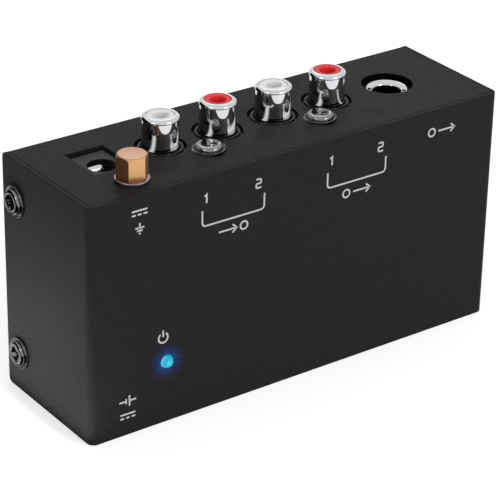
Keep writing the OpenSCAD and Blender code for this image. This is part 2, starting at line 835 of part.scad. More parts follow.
module battery_tray() {
    color("#1f1f21") difference() {
        union() {
            tray_shell();
            for (x = ear_x) translate([x - ear[0] / 2 - (x < 0 ? 0 : wall), ear_y - ear[1], battery_z - ear[2] / 2])
                cube([ear[0] + wall, ear[1], ear[2]]);
        }
        translate([tray_in_x[0], tray_floor_y + wall, tray_in_z[0]])
            cube([tray_in_x[1] - tray_in_x[0], box_d, tray_in_z[1] - tray_in_z[0]]);
        translate([hinge_x, hinge_y, tray_in_z[0] - wall - past])
            cylinder(r = pin_r + fit, h = box_h / 2 + 10);
        for (x = ear_x) rod_y(x, back_y, battery_z, 1.35, box_d);
        // way out for the two leads, through the floor
        translate([lead_hole[0], tray_floor_y - past, lead_hole[1]]) cube([7.2, wall + 2 * past, 9]);
    }
}

module door_outline() {
    square_l = door_end_x - hinge_x;
    translate([hinge_x, back_y - door_t]) square([square_l, door_t]);
    intersection() {
        translate([hinge_x, hinge_y]) circle(hinge_r);
        translate([hinge_x - hinge_r, back_y - door_t]) square([hinge_r + eps, door_t]);
    }
}

module knuckle_outline() {
    translate([hinge_x, hinge_y]) circle(knuckle_r);
    translate([hinge_x - knuckle_r / 2, hinge_y]) square([knuckle_r + 1, hinge_r - door_t + eps]);
}

module battery_door() {
    z0 = door_free_z[0];
    z1 = door_free_z[1];
    grip_l = 12;
    grip_h = 14;
    grip_x = door_end_x - 3 - grip_l;
    rib = grip_l / (2 * grip_ribs + 1);
    color("#242427") {
        difference() {
            translate([0, 0, z0]) linear_extrude(z1 - z0) door_outline();
            for (k = [0:grip_ribs]) translate([grip_x + 2 * k * rib, back_y - 0.6, battery_z - grip_h / 2])
                cube([rib, 2, grip_h]);
        }
        for (z = [z0, z1 - knuckle_l]) translate([0, 0, z]) linear_extrude(knuckle_l) knuckle_outline();
        translate([hinge_x, hinge_y, z0 - door_pin_l]) cylinder(r = pin_r, h = z1 - z0 + 2 * door_pin_l);
        // stiffening ribs inside
        for (z = [z0 + 3, z1 - 3.8]) translate([hinge_x + 4, back_y - door_t - 0.5, z])
            cube([door_end_x - hinge_x - 8, 0.5 + eps, 0.8]);
    }
}

module battery() {
    color("#8c8f96") translate([battery_x, battery_y, battery_z]) {
        translate([0, battery_t / 2, 0]) rotate([90, 0, 90]) linear_extrude(battery_l)
            round_rect(battery_t, battery_w, 2);
        for (s = [0, 1]) translate([battery_l - eps, battery_t / 2, (2 * s - 1) * terminal_gap / 2])
            rotate([0, 90, 0]) cylinder(r = terminal_r[s], h = terminal_l);
    }
}

module battery_snap() {
    x = battery_x + battery_l + 0.4;
    color("#151517") translate([x, battery_y + battery_t / 2, battery_z]) difference() {
        rotate([90, 0, 90]) linear_extrude(snap_t) round_rect(11, 24, 4);
        for (s = [0, 1]) translate([-past, 0, (2 * s - 1) * terminal_gap / 2]) rotate([0, 90, 0])
            cylinder(r = terminal_r[s] + fit, h = terminal_l + past);
    }
}

// Insulated lead swept along a list of points
lead_sides = 8;
function unit(v) = v / norm(v);
function path_dir(p, i) = unit(p[min(i + 1, len(p) - 1)] - p[max(i - 1, 0)]);
function ring(p, i, r) =
    let (d = path_dir(p, i), u = unit(cross(d, [1, 0.2, 0])), v = cross(d, u))
    [for (k = [0:lead_sides - 1]) p[i] + r * (cos(360 * k / lead_sides) * u + sin(360 * k / lead_sides) * v)];
// The two triangles between corner k of ring i and the next corner and ring
function facet_pair(i, k) =
    let (a = i * lead_sides, b = (k + 1) % lead_sides)
    [[a + k, a + lead_sides + k, a + lead_sides + b], [a + k, a + lead_sides + b, a + b]];

module lead(path) {
    last = len(path) - 1;
    polyhedron(
        points = [for (i = [0:last]) each ring(path, i, lead_r)],
        faces = concat(
            [[for (k = [0:lead_sides - 1]) k]],
            [for (i = [0:last - 1], k = [0:lead_sides - 1]) each facet_pair(i, k)],
            [[for (k = [lead_sides - 1:-1:0]) last * lead_sides + k]]
        ),
        convexity = 4
    );
}

lead_hole = [27.5, 21.5];                // lower left corner of the hole in the tray's floor
snap_back = battery_x + battery_l + 0.4 + snap_t;
lead_route = [
    [snap_back + 0.25, 5, 18.3], [34.05, 4.85, 18.5], [34.3, 4, 19.8], [34.1, 1.2, 22], [33.4, -1.8, 24.4],
    [30.6, -5.4, 27.2], [26.6, -5.9, 30.6], [24.4, -2, 33.6], [23.6, 3, 35], [23.5, board_y - 0.1, 35.2]
];

// The second lead runs beside the first one
function lead_path(k) = [
    for (i = [0:len(lead_route) - 1]) lead_route[i] + k * (i < 4 ? [0.1, 0, 2.4] : [1.2, 0, 1.2])
];

module battery_lead_red() { color("#b3201c") lead(lead_path(0)); }
module battery_lead_black() { color("#141414") lead(lead_path(1)); }

cover();
chassis();
cover_screws();
rubber_feet();
circuit_board();
clinch_standoffs();
board_screws();
jack_block(0);  // input_jack_block
jack_block(2);  // output_jack_block
jack_block_screws();
pin_shell(0);  // input_shell_left
pin_shell(1);  // input_shell_right
pin_shell(2);  // output_shell_left
pin_shell(3);  // output_shell_right
pin_insulator(0, "#ececea");  // input_insulator_left
pin_insulator(1, "#d3202c");  // input_insulator_right
pin_insulator(2, "#ececea");  // output_insulator_left
pin_insulator(3, "#d3202c");  // output_insulator_right
centre_contact(0);  // input_contact_left
centre_contact(1);  // input_contact_right
centre_contact(2);  // output_contact_left
centre_contact(3);  // output_contact_right
phone_jack_body();
phone_jack_ferrule();
phone_jack_tip_spring();
phone_jack_ring_spring();
phone_jack_sleeve_spring();
dc_jack_body();
dc_jack_pin();
dc_jack_spring();
ground_stud();
ground_lug();
ground_lock_nut();
ground_washer();
ground_nut();
indicator_led();
led_leads();
selector_switch_body();
selector_slider();
op_amp_chips();
electrolytic_capacitors();
film_capacitors();
resistors();
voltage_regulator();
polarity_diode();
battery_tray();
tray_screws();
battery_door();
battery();
battery_snap();
battery_lead_red();
battery_lead_black();
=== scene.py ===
# %% [markdown]
# # A small phono preamplifier in a folded metal box
#
# The object is a box of two folded sheets that slide into each other: a cover with the printed
# face and the two ends, and a chassis with the connector panel, the hidden face and the front
# panel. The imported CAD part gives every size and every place. This lesson dresses it: it sets up a
# small studio, makes one finish for each material of the record, and models the pieces that the
# eye rests on again, with rounder and finer shapes.
#
# Everything is in metres. The box stands on its front panel, so +Z points to the connector panel,
# -Y is the printed face and X runs along the box.

import json
import math

import bpy
from mathutils import Matrix, Vector

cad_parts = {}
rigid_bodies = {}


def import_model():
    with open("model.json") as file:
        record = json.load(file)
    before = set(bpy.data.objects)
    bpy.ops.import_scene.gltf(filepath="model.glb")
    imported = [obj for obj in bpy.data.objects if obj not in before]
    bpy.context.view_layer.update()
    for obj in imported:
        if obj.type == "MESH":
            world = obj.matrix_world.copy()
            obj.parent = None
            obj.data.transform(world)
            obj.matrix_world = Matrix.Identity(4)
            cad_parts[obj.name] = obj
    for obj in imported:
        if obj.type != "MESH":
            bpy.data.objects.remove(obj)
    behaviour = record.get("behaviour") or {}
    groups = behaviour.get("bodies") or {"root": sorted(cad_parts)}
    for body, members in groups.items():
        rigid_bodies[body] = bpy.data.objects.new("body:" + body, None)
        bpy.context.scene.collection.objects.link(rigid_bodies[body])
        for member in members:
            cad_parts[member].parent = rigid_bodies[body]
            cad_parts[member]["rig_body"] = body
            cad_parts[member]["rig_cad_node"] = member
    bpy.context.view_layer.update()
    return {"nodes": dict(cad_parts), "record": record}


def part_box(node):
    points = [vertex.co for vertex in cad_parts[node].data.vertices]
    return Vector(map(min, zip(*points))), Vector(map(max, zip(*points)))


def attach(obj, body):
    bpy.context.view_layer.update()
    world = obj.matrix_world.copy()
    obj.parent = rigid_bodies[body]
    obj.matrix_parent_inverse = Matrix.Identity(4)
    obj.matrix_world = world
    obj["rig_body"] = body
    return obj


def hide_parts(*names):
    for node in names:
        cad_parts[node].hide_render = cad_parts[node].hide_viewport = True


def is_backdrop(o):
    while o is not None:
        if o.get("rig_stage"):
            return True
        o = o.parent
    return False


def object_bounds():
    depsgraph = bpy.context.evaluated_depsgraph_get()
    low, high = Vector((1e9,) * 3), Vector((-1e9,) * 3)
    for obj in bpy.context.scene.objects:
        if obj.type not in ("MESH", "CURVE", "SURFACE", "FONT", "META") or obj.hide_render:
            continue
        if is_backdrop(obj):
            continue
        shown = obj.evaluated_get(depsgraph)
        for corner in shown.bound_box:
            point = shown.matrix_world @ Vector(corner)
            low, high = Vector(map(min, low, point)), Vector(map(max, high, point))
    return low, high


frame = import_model()
nodes = frame["nodes"]
MM = 0.001

# %% [markdown]
# ## Places that many pieces need
#
# A node's box tells where it is, so a new piece can be put exactly over it. The record says which
# body carries each node, and which material slot it takes its finish from. Both are read here once.
# From here on, every place and size is in millimetres.

# %% Bodies, slots and places
def middle(name):
    low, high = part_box(name)
    return (low + high) / 2 / MM


def corners(name):
    return (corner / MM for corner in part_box(name))


body_of = {n: b for b, members in frame["record"]["behaviour"]["bodies"].items() for n in members}
slot_of = {row["node"]: row["material_slot"] for row in frame["record"]["subparts"]}
box_low, box_high = corners("cover")
panel_z = box_high.z
face_y = box_low.y
SOCKETS = ("input_left", "input_right", "output_left", "output_right")
sockets = {}
for place in SOCKETS:
    spot = middle(f"{place.split('_')[0]}_shell_{place.split('_')[1]}")
    sockets[place] = Vector((spot.x, spot.y, panel_z))
print("panel at", round(panel_z, 2), "mm, printed face at", round(face_y, 2), "mm")

# %% Two helpers
def deselect():
    if bpy.context.object and bpy.context.object.mode != "OBJECT":
        bpy.ops.object.mode_set(mode="OBJECT")
    bpy.ops.object.select_all(action="DESELECT")


def named(name):
    """The object that was just added, with its name."""
    bpy.context.object.name = name
    return bpy.context.object


# %% [markdown]
# ## Camera
#
# The box is seen from above and from its left, with a long lens from half a metre away, so that
# its edges run almost parallel. The camera is turned in three steps: round the upright axis, down
# towards the box, and a small roll about its line of sight.

# %% Add the camera
CAMERA_PLACE = Vector((-275.2, -374.4, 262.0)) * MM
CAMERA_AZIMUTH = math.radians(-36.17)
CAMERA_DOWN = math.radians(27.10)
CAMERA_ROLL = math.radians(1.15)
CAMERA_LENS = 167.47

deselect()
turn = (
    Matrix.Rotation(CAMERA_AZIMUTH, 3, "Z")
    @ Matrix.Rotation(math.pi / 2 - CAMERA_DOWN, 3, "X")
    @ Matrix.Rotation(CAMERA_ROLL, 3, "Z")
)
bpy.ops.object.camera_add(location=CAMERA_PLACE, rotation=turn.to_euler())
camera = bpy.context.object
camera.data.lens = CAMERA_LENS
camera.data.sensor_width = 36
camera.data.clip_start = 0.01
bpy.context.scene.camera = camera
bpy.context.scene.view_settings.view_transform = "Standard"
print("camera looks along", [round(v, 2) for v in turn @ Vector((0, 0, -1))])

# %% [markdown]
# ## Finishes: a small language for shader maths
#
# A finish is a node tree, and a node tree that is wired by hand in code is hard to read. Two small
# classes help. `Value` wraps a socket, and arithmetic on it adds Math nodes, so that a mask reads
# like a formula. `Finish` makes the material, adds any node from its type, settings and sockets,
# and ends with one Principled shader. Only what changes over the surface is wired; what is the
# same everywhere is set on the shader's own socket.

# %% Value
WHITE = (1.0, 1.0, 1.0, 1.0)


def rgba(value):
    """A colour of three numbers gets its fourth; anything else stays."""
    return (*value, 1.0) if isinstance(value, tuple) and len(value) == 3 else value


class Value:
    """A socket of a finish. Signs on it add Math nodes."""

    def __init__(self, finish, socket):
        self.finish, self.socket = finish, socket


def sign(operation, swapped=False):
    def apply(a, b):
        pair = [b, a] if swapped else [a, b]
        return a.finish.node("ShaderNodeMath", {"operation": operation}, pair)

    return apply


SIGN_NODES = {"add": "ADD", "sub": "SUBTRACT", "mul": "MULTIPLY", "truediv": "DIVIDE"}
for name, operation in SIGN_NODES.items():
    setattr(Value, f"__{name}__", sign(operation))
    setattr(Value, f"__r{name}__", sign(operation, swapped=True))
Value.__pow__ = sign("POWER")


def distance(u, v):
    return (u * u + v * v) ** 0.5


# %% Finish
class Finish:
    """A material under construction, or another node tree such as the world's."""

    def __init__(self, name, tree=None):
        if tree is None:
            self.material = bpy.data.materials.new(name)
            self.material.use_nodes = True
            tree = self.material.node_tree
        self.tree = tree
        self.tree.nodes.clear()
        self.place = self.node("ShaderNodeTexCoord", out="Object")

    def node(self, kind, settings=None, sockets=(), out=0):
        """Adds a node: first its settings, then the values or links of its sockets."""
        added = self.tree.nodes.new(kind)
        for key, value in (settings or {}).items():
            setattr(added, key, value)
        pairs = sockets.items() if isinstance(sockets, dict) else enumerate(sockets)
        for key, value in pairs:
            if isinstance(value, Value):
                self.tree.links.new(value.socket, added.inputs[key])
            else:
                added.inputs[key].default_value = value
        return Value(self, added.outputs[out]) if added.outputs else None

    def noise(self, size, detail=2.0, place=None, rough=0.5):
        """Cloudy noise between 0 and 1 with features of about that size."""
        sockets = {"Scale": 1 / (size * MM), "Detail": detail, "Roughness": rough}
        sockets["Vector"] = place or self.place
        return self.node("ShaderNodeTexNoise", {"noise_dimensions": "3D"}, sockets)

    def ripple(self, value, scale):
        """Noise along one value, such as a radius or an angle."""
        sockets = {"W": value, "Scale": scale, "Detail": 2.0}
        return self.node("ShaderNodeTexNoise", {"noise_dimensions": "1D"}, sockets)

    def voronoi(self, feature, scale):
        """Scattered points: the distance to the nearest, or to the border between two."""
        sockets = {"Vector": self.place, "Scale": scale}
        return self.node("ShaderNodeTexVoronoi", {"feature": feature}, sockets)

    def scaled(self, x, y, z):
        """The place, stretched, for a pattern that runs along one axis."""
        return self.node("ShaderNodeMapping", {}, {"Vector": self.place, "Scale": (x, y, z)})

    def axes(self, centre=(0, 0, 0)):
        """The three coordinates, counted from a centre."""
        sockets = {"Vector": self.place, "Location": [-c for c in centre], "Scale": (1 / MM,) * 3}
        moved = self.node("ShaderNodeMapping", {}, sockets)
        return [self.node("ShaderNodeSeparateXYZ", {}, [moved], out=i) for i in range(3)]

    def clamp(self, value):
        """Cut off below 0 and above 1."""
        return self.node("ShaderNodeClamp", {}, {"Value": value})

    def step(self, value, start, end):
        """Rises smoothly from 0 at start to 1 at end."""
        return self.node(
            "ShaderNodeMapRange",
            {"interpolation_type": "SMOOTHSTEP", "clamp": True},
            {"Value": value, "From Min": start, "From Max": end},
        )

    def mix(self, factor, a, b):
        sockets = {0: factor, 6: rgba(a), 7: rgba(b)}
        return self.node("ShaderNodeMix", {"data_type": "RGBA"}, sockets, out=2)

    def bump(self, height, depth, strength=1.0):
        """A normal from a height between 0 and 1 that stands for that depth."""
        sockets = {"Height": height, "Distance": depth * MM, "Strength": strength}
        return self.node("ShaderNodeBump", {}, sockets, out="Normal")

    def glow(self, strength):
        """White light of that strength."""
        return self.node("ShaderNodeEmission", {}, {"Color": WHITE, "Strength": strength})

    def surface(self, shader):
        """Ends the material with this shader."""
        self.node("ShaderNodeOutputMaterial", {}, {"Surface": shader})
        return self.material

    def done(self, **sockets):
        """Ends the material with the Principled shader, given these sockets."""
        named = {key.replace("_", " "): rgba(value) for key, value in sockets.items()}
        return self.surface(self.node("ShaderNodeBsdfPrincipled", {}, named))


print("Value and Finish are ready")

# %% [markdown]
# ## Powder coat
#
# The sheets are sprayed with black powder that melts into a skin with fine pimples, like dark
# felt. Two noises of different size lift the surface, the tops are a little more polished than the
# hollows, and a slow cloud keeps the large faces from looking flat. The cut edge inside the large
# jack's hole is painted nearly black: painted shade. Round the lamp the finish carries painted
# light: it glows blue as a soft disc with faint rays, on the printed face only.

# %% Powder coat
LAMP = middle("indicator_led")
JACK = middle("phone_jack_ferrule")
JACK_HOLE = (7.2, 7.0)
SHEET = 1.0
HALO_REACH = 5.4


def painted_hole_shade(coat):
    """1 on the cut edge of the large jack's hole, just below the panel's surface: painted shade."""
    x, y, z = coat.axes((JACK.x, JACK.y, panel_z))
    in_sheet = coat.step(z, -0.1, -0.2) * coat.step(z, -SHEET - 0.6, -SHEET - 0.4)
    return coat.step(distance(x, y), *JACK_HOLE) * in_sheet


# Painted light: the lamp's blue glow on the printed face, a soft disc with faint rays.
def painted_lamp_glow(coat):
    x, y, z = coat.axes(LAMP)
    angle = coat.node("ShaderNodeMath", {"operation": "ARCTAN2"}, [z, x])
    spikes = coat.step(coat.ripple(angle, 5.0), 0.35, 0.75)
    near = coat.clamp(1 - distance(x, z) / HALO_REACH)
    front = coat.step(y, 1.5, 0.5)
    glow = coat.clamp(near ** 2.4 * (0.55 + spikes * 0.7) * front)
    halo = coat.mix(coat.clamp(near ** 7 * 2.2), (0.003, 0.07, 0.48), (0.0, 0.42, 0.66))
    return coat.mix(glow, (0.0, 0.0, 0.0), halo)


def powder_coat():
    coat = Finish("powder_coat")
    pimples = coat.noise(0.62, detail=3.0, rough=0.65)
    grain = coat.noise(0.16)
    cloud = coat.noise(18.0)
    height = pimples * 0.75 + grain * 0.25
    sparkle = coat.step(pimples + grain * 0.35, 0.72, 0.92)
    colour = coat.mix(height, (0.0088, 0.0088, 0.0091), (0.0275, 0.0275, 0.0283))
    return coat.done(
        # Painted shade: the cut edge in the jack's hole is painted near black.
        Base_Color=coat.mix(painted_hole_shade(coat), colour, (0.001, 0.001, 0.001)),
        Roughness=coat.clamp(0.50 - sparkle * 0.16 + (cloud - 0.5) * 0.08),
        Specular_IOR_Level=0.045,
        Normal=coat.bump(height, 0.18),
        # Painted light: this emission is the lamp's glow on the printed face.
        Emission_Color=painted_lamp_glow(coat),
        Emission_Strength=1.0,
    )


# %% [markdown]
# ## Metals
#
# The pin jacks are plated like a mirror, with the faintest haze. Screws and posts are
# zinc-plated, which is duller and slightly mottled. The terminal's nut is turned brass: fine rings
# run round its own axis on top. One side of the nut is painted browner as painted shade, its foot
# is painted dark as a painted reflection of the panel, and random stains darken it as well.
# The washer is nickel with a rosy tint. The low wall of the screw heads that stand on the
# connector panel is painted near black: painted shade.

# %% Metal finishes
def plated_mirror():
    metal = Finish("chrome_plate")
    haze = metal.noise(2.6, detail=3.0)
    drawn = metal.noise(1.0, place=metal.scaled(1, 1, 0.08))
    return metal.done(
        Base_Color=metal.mix(haze, (0.54, 0.55, 0.565), (0.63, 0.64, 0.65)),
        Metallic=1.0,
        Roughness=0.03 + haze * 0.04,
        Normal=metal.bump(drawn, 0.006, 0.25),
    )


def zinc(name, tone, smooth):
    metal = Finish(name)
    mottle = metal.noise(0.9, detail=3.0)
    fine = metal.noise(0.12)
    dark = tuple(c * 0.78 for c in tone)
    _, _, z = metal.axes((0, 0, panel_z))
    # Painted shade: near black on the low wall of heads that stand on the connector panel.
    painted_base_shade = metal.step(z, 0.0, 0.1) * metal.step(z, 0.75, 0.45)
    return metal.done(
        Base_Color=metal.mix(painted_base_shade, metal.mix(mottle, dark, tone), (0.02, 0.02, 0.02)),
        Metallic=1.0,
        Roughness=smooth + mottle * 0.14,
        Normal=metal.bump(fine, 0.01, 0.2),
    )


# Painted shade: the side of the nut facing away from this direction is painted browner.
PAINTED_SHADE_SIDE = (0.807, 0.590)


def turned_brass():
    metal = Finish("brass")
    x, y, z = metal.axes(middle("ground_nut"))
    rings = metal.ripple(distance(x, y), 9.0)
    drawn = metal.noise(0.25, detail=3.0, place=metal.scaled(1, 1, 0.06))
    stain = metal.noise(2.2, detail=3.0)
    top = metal.step(z, 2.4, 2.6)
    # Painted reflection: the foot of the nut is painted dark, where the dark panel would show.
    foot = 1 - metal.step(z, -2.4, -1.2)
    grain = rings * top + drawn * (1 - top)
    bright = metal.mix(grain, (0.56, 0.31, 0.13), (0.74, 0.44, 0.20))
    # Painted shade on one side of the nut.
    side = metal.step(x * PAINTED_SHADE_SIDE[0] - y * PAINTED_SHADE_SIDE[1], -0.55, -0.75) * (1 - top)
    shaded_side_colour = metal.mix(side * 0.85, bright, (0.50, 0.20, 0.10))
    rosy = metal.mix(top * 0.85, shaded_side_colour, (0.44, 0.26, 0.19))
    # Random stains, plus the painted dark foot.
    stained_and_shaded = metal.mix(metal.clamp(foot * 0.80 + stain * 0.35 - 0.14), rosy, (0.36, 0.125, 0.055))
    return metal.done(
        Base_Color=stained_and_shaded,
        Metallic=0.82,
        Roughness=0.22 + grain * 0.12 + stain * 0.08,
        Normal=metal.bump(grain, 0.012, 0.35),
    )


def nickel():
    metal = Finish("nickel_washer")
    stain = metal.noise(1.6, detail=3.0)
    fine = metal.noise(0.1)
    return metal.done(
        Base_Color=metal.mix(stain, (0.20, 0.155, 0.155), (0.32, 0.26, 0.26)),
        Metallic=1.0,
        Roughness=0.24 + stain * 0.12,
        Normal=metal.bump(fine, 0.008, 0.2),
    )


# %% [markdown]
# ## Plastics and rubber
#
# Moulded plastics differ in three things: colour, gloss and the grain of the mould. One function
# covers them: the grain is a bump from noise, and the colour varies by a few percent, as in real
# mouldings. Rubber has a coarser grain of cells, and dust that makes it paler in places. The green
# board has copper tracks under its lacquer.

# %% Plastic finishes
def moulding(name, tone, gloss, grain=0.35, depth=0.01, vary=0.12, coat=0.0, shine=0.5):
    plastic = Finish(name)
    fine = plastic.noise(grain, detail=3.0)
    cloud = plastic.noise(6.0)
    dim = tuple(c * (1 - vary) for c in tone)
    lit = tuple(min(c * (1 + vary), 1.0) for c in tone)
    return plastic.done(
        Base_Color=plastic.mix(cloud * 0.6 + fine * 0.4, dim, lit),
        Roughness=plastic.clamp(gloss + (fine - 0.5) * 0.16),
        Specular_IOR_Level=shine,
        Coat_Weight=coat,
        Coat_Roughness=0.08,
        Normal=plastic.bump(fine, depth, 0.5),
    )


def rubber():
    soft = Finish("rubber")
    fine = soft.voronoi("F1", 1 / (0.22 * MM))
    dust = soft.noise(1.4, detail=4.0)
    return soft.done(
        Base_Color=soft.mix(dust, (0.014, 0.014, 0.014), (0.034, 0.033, 0.031)),
        Roughness=0.78 + dust * 0.12,
        Specular_IOR_Level=0.25,
        Normal=soft.bump(fine, 0.03, 0.5),
    )


BOARD_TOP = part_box("circuit_board")[1].z / MM


def solder_mask():
    board = Finish("board_green")
    weave = board.noise(0.5)
    _, _, z = board.axes()
    copper = board.step(board.voronoi("DISTANCE_TO_EDGE", 260.0), 0.16, 0.10)
    mask = board.mix(copper, (0.012, 0.085, 0.028), (0.028, 0.17, 0.055))
    edge = board.step(z, BOARD_TOP - 0.25, BOARD_TOP - 0.15)
    return board.done(
        Base_Color=board.mix(edge, mask, (0.010, 0.009, 0.006)),
        Roughness=0.30 + weave * 0.12,
        Normal=board.bump(copper, 0.04, 0.6),
    )


# %% [markdown]
# ## The lamp, lit
#
# The lamp is a clear blue lens with a chip behind it. It is on: the lens glows cyan all over, with
# a hot spot where the chip shows through, and a paler rim on the side where light leaks round the
# flange. The glow is emission that changes with the distance from the lens's axis.

# %% Lamp finish
def lit_lens():
    lens = Finish("lamp_blue")
    x, y, z = lens.axes(LAMP)
    away = distance(x, z)
    spot_x, _, spot_z = lens.axes((LAMP.x - 0.25, LAMP.y, LAMP.z + 0.15))
    spot = 1 - lens.step(distance(spot_x, spot_z), 0.1, 0.65)
    rim = lens.step(away, 1.18, 1.42) * lens.step(x, 0.1, -0.7)
    body = lens.mix(lens.step(away, 0.2, 1.5), (0.004, 0.50, 0.60), (0.004, 0.40, 0.58))
    bright = lens.mix(spot, body, (0.03, 0.80, 0.82))
    glow = lens.mix(rim, bright, (0.12, 0.50, 0.80))
    return lens.done(
        Base_Color=(0.005, 0.06, 0.10),
        Roughness=0.18,
        Specular_IOR_Level=0.25,
        Emission_Color=glow,
        Emission_Strength=0.9,
        Coat_Weight=0.12,
        Coat_Roughness=0.05,
    )


# %% [markdown]
# ## One finish for each slot
#
# The record names the material slots. Each gets its finish once, and every CAD node is given the
# finish of its slot straight away. Leads, resistors and the diode keep their CAD shape and only
# get this finish; the others are replaced further on by pieces that use the same finishes. The
# battery's sleeve has a dark end, and the resistors have bands.

# %% Battery and resistor finishes
def battery_sleeve():
    sleeve = Finish("battery_can")
    x, _, _ = sleeve.axes(middle("battery"))
    band = sleeve.step(x, 11.0, 11.4)
    scuff = sleeve.noise(1.2, detail=4.0)
    plain = sleeve.mix(scuff, (0.20, 0.21, 0.235), (0.27, 0.28, 0.31))
    return sleeve.done(
        Base_Color=sleeve.mix(band, plain, (0.035, 0.036, 0.04)),
        Metallic=0.35,
        Roughness=0.32 + scuff * 0.16,
        Normal=sleeve.bump(scuff, 0.02, 0.2),
    )


def banded_resistor():
    body = Finish("resistor_blue")
    sockets = {"Vector": body.place, "Scale": 190.0}
    wave = body.node("ShaderNodeTexWave", {"bands_direction": "X"}, sockets)
    bands = body.step(wave, 0.80, 0.90)
    fine = body.noise(0.3)
    return body.done(
        Base_Color=body.mix(bands, (0.13, 0.31, 0.44), (0.20, 0.07, 0.02)),
        Roughness=0.30 + fine * 0.12,
        Normal=body.bump(fine, 0.01, 0.3),
    )


# %% Make all finishes and dress the nodes
finishes = {
    "powder_coat": powder_coat(),
    "screw_steel": zinc("screw_steel", (0.24, 0.24, 0.25), 0.05),
    "zinc_steel": zinc("zinc_steel", (0.52, 0.53, 0.54), 0.26),
    "rubber": rubber(),
    "board_green": solder_mask(),
    "jack_black": moulding("jack_black", (0.008, 0.008, 0.009), 0.36, depth=0.012, shine=0.12),
    "chrome_plate": plated_mirror(),
    "white_plastic": moulding("white_plastic", (0.92, 0.92, 0.91), 0.30, vary=0.02, shine=0.25),
    "red_plastic": moulding("red_plastic", (0.86, 0.035, 0.045), 0.30, vary=0.08, shine=0.12),
    "bronze": zinc("bronze", (0.58, 0.46, 0.26), 0.24),
    "brass": turned_brass(),
    "nickel_washer": nickel(),
    "lamp_blue": lit_lens(),
    "slider_black": moulding("slider_black", (0.016, 0.016, 0.016), 0.42, shine=0.25),
    "chip_black": moulding("chip_black", (0.016, 0.016, 0.017), 0.45, grain=0.2, depth=0.02),
    "capacitor_sleeve": moulding("capacitor_sleeve", (0.018, 0.028, 0.080), 0.24, coat=0.4),
    "capacitor_red": moulding("capacitor_red", (0.32, 0.028, 0.018), 0.26, coat=0.5),
    "resistor_blue": banded_resistor(),
    "case_plastic": moulding(
        "case_plastic", (0.014, 0.014, 0.015), 0.50, grain=0.3, depth=0.03, shine=0.15,
    ),
    "battery_can": battery_sleeve(),
    "lead_red": moulding("lead_red", (0.46, 0.016, 0.014), 0.34),
    "lead_black": moulding("lead_black", (0.018, 0.018, 0.018), 0.36),
}
for name, node in nodes.items():
    node.data.materials.clear()
    node.data.materials.append(finishes[slot_of[name]])
print("finishes:", len(finishes))

# %% [markdown]
# ## Studio: floor, background and lights
#
# The object stands on a white floor under soft light. The floor is plain white paint that, for
# camera, mirror and clear rays, also glows a little, so that it reads as white up to the foot of
# the box and the contact shadow stays. The world is white for the same rays and a softer grey as a
# light. Three large soft lamps stand round the box: weak ones on the left and behind, and the
# main one in front of the printed face. The floor lies a hair below the box, so that the two never
# share a plane.

# %% Floor and world
FLOOR_SIZE = 4.0
FLOOR_DROP = 0.05
FLOOR_PAINT = (0.82, 0.82, 0.82)
FLOOR_GLOW = 0.54
WORLD_LIGHT = 0.55


def seen_directly(finish):
    """1 for rays that show the background: from the camera, in a mirror, through glass."""
    from_camera, mirrored, through_glass = (
        finish.node("ShaderNodeLightPath", out=f"Is {kind} Ray")
        for kind in ("Camera", "Glossy", "Transmission")
    )
    return finish.clamp(from_camera + mirrored + through_glass)


deselect()
bpy.ops.mesh.primitive_plane_add(size=FLOOR_SIZE, location=(0, 0, -FLOOR_DROP * MM))
floor = named("floor")
floor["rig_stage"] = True
paper = Finish("floor")
diffuse = paper.node("ShaderNodeBsdfDiffuse", {}, {"Color": rgba(FLOOR_PAINT)})
shine = paper.glow(seen_directly(paper) * FLOOR_GLOW)
both = paper.node("ShaderNodeAddShader", {}, [diffuse, shine])
floor.data.materials.append(paper.surface(both))

world = bpy.data.worlds.new("studio")
bpy.context.scene.world = world
world.use_nodes = True
sky = Finish("studio", world.node_tree)
strength = WORLD_LIGHT + seen_directly(sky) * (1 - WORLD_LIGHT)
background = sky.node("ShaderNodeBackground", {}, {"Color": WHITE, "Strength": strength})
sky.node("ShaderNodeOutputWorld", {}, {"Surface": background})

# %% Lamps
# Place and width in millimetres, and power in watts. Each lamp looks at the middle of the box.
LAMPS = {
    "lamp_left": ((-600, -170, 380), 190, 0.55),
    "lamp_right": ((190, -560, 340), 240, 1.25),
    "lamp_back": ((330, 480, 620), 420, 0.6),
}
LAMPS_AIM = Vector((0, 0, 30))
for name, (place, size, watts) in LAMPS.items():
    place = Vector(place) * MM
    aim = (LAMPS_AIM * MM - place).to_track_quat("-Z", "Y")
    bpy.ops.object.light_add(type="AREA", location=place, rotation=aim.to_euler())
    lamp = named(name)
    lamp.data.shape = "SQUARE"
    lamp.data.size = size * MM
    lamp.data.energy = watts
print("lamps:", list(LAMPS))

# %% [markdown]
# ## A reflector, two glints and two flags
#
# A powder coat is dull, but at a flat angle it mirrors the room softly. The left end should be
# light at its foot and dark at the top. So a glowing card, the reflector, lies beside it for dull
# surfaces alone, and black cloth lies and stands there for mirrors. Two small cards on the cloth
# give the screw heads their glints. The camera doesn't see the five, and they cast no shadow.
# Seen from below, a glowing card gives the floor the same light as the world does.

# %% Cards beside the box
# Place, size and tilt (degrees), then how strongly the card glows and which rays see it.
FLAT = (0, 0, 0)
CARDS = {
    "reflector_left": ((-80, 20, 0.8), (46, 100), FLAT, 8.4, ("diffuse",)),
    "glint_low": ((-73, 34, 1.0), (26, 38), FLAT, 1.1, ("glossy",)),
    "glint_high": ((-118, 104, 1.0), (56, 76), FLAT, 1.1, ("glossy",)),
    "flag_floor": ((-252, 130, 0.6), (390, 440), FLAT, 0.0, ("glossy",)),
    "flag_left": ((-225, 190, 130), (460, 260), (90, 0, 50), 0.0, ("diffuse", "glossy")),
}


def seen_only_by(sheet, kinds):
    for kind in ("camera", "diffuse", "glossy", "transmission", "shadow"):
        setattr(sheet, f"visible_{kind}", kind in kinds)


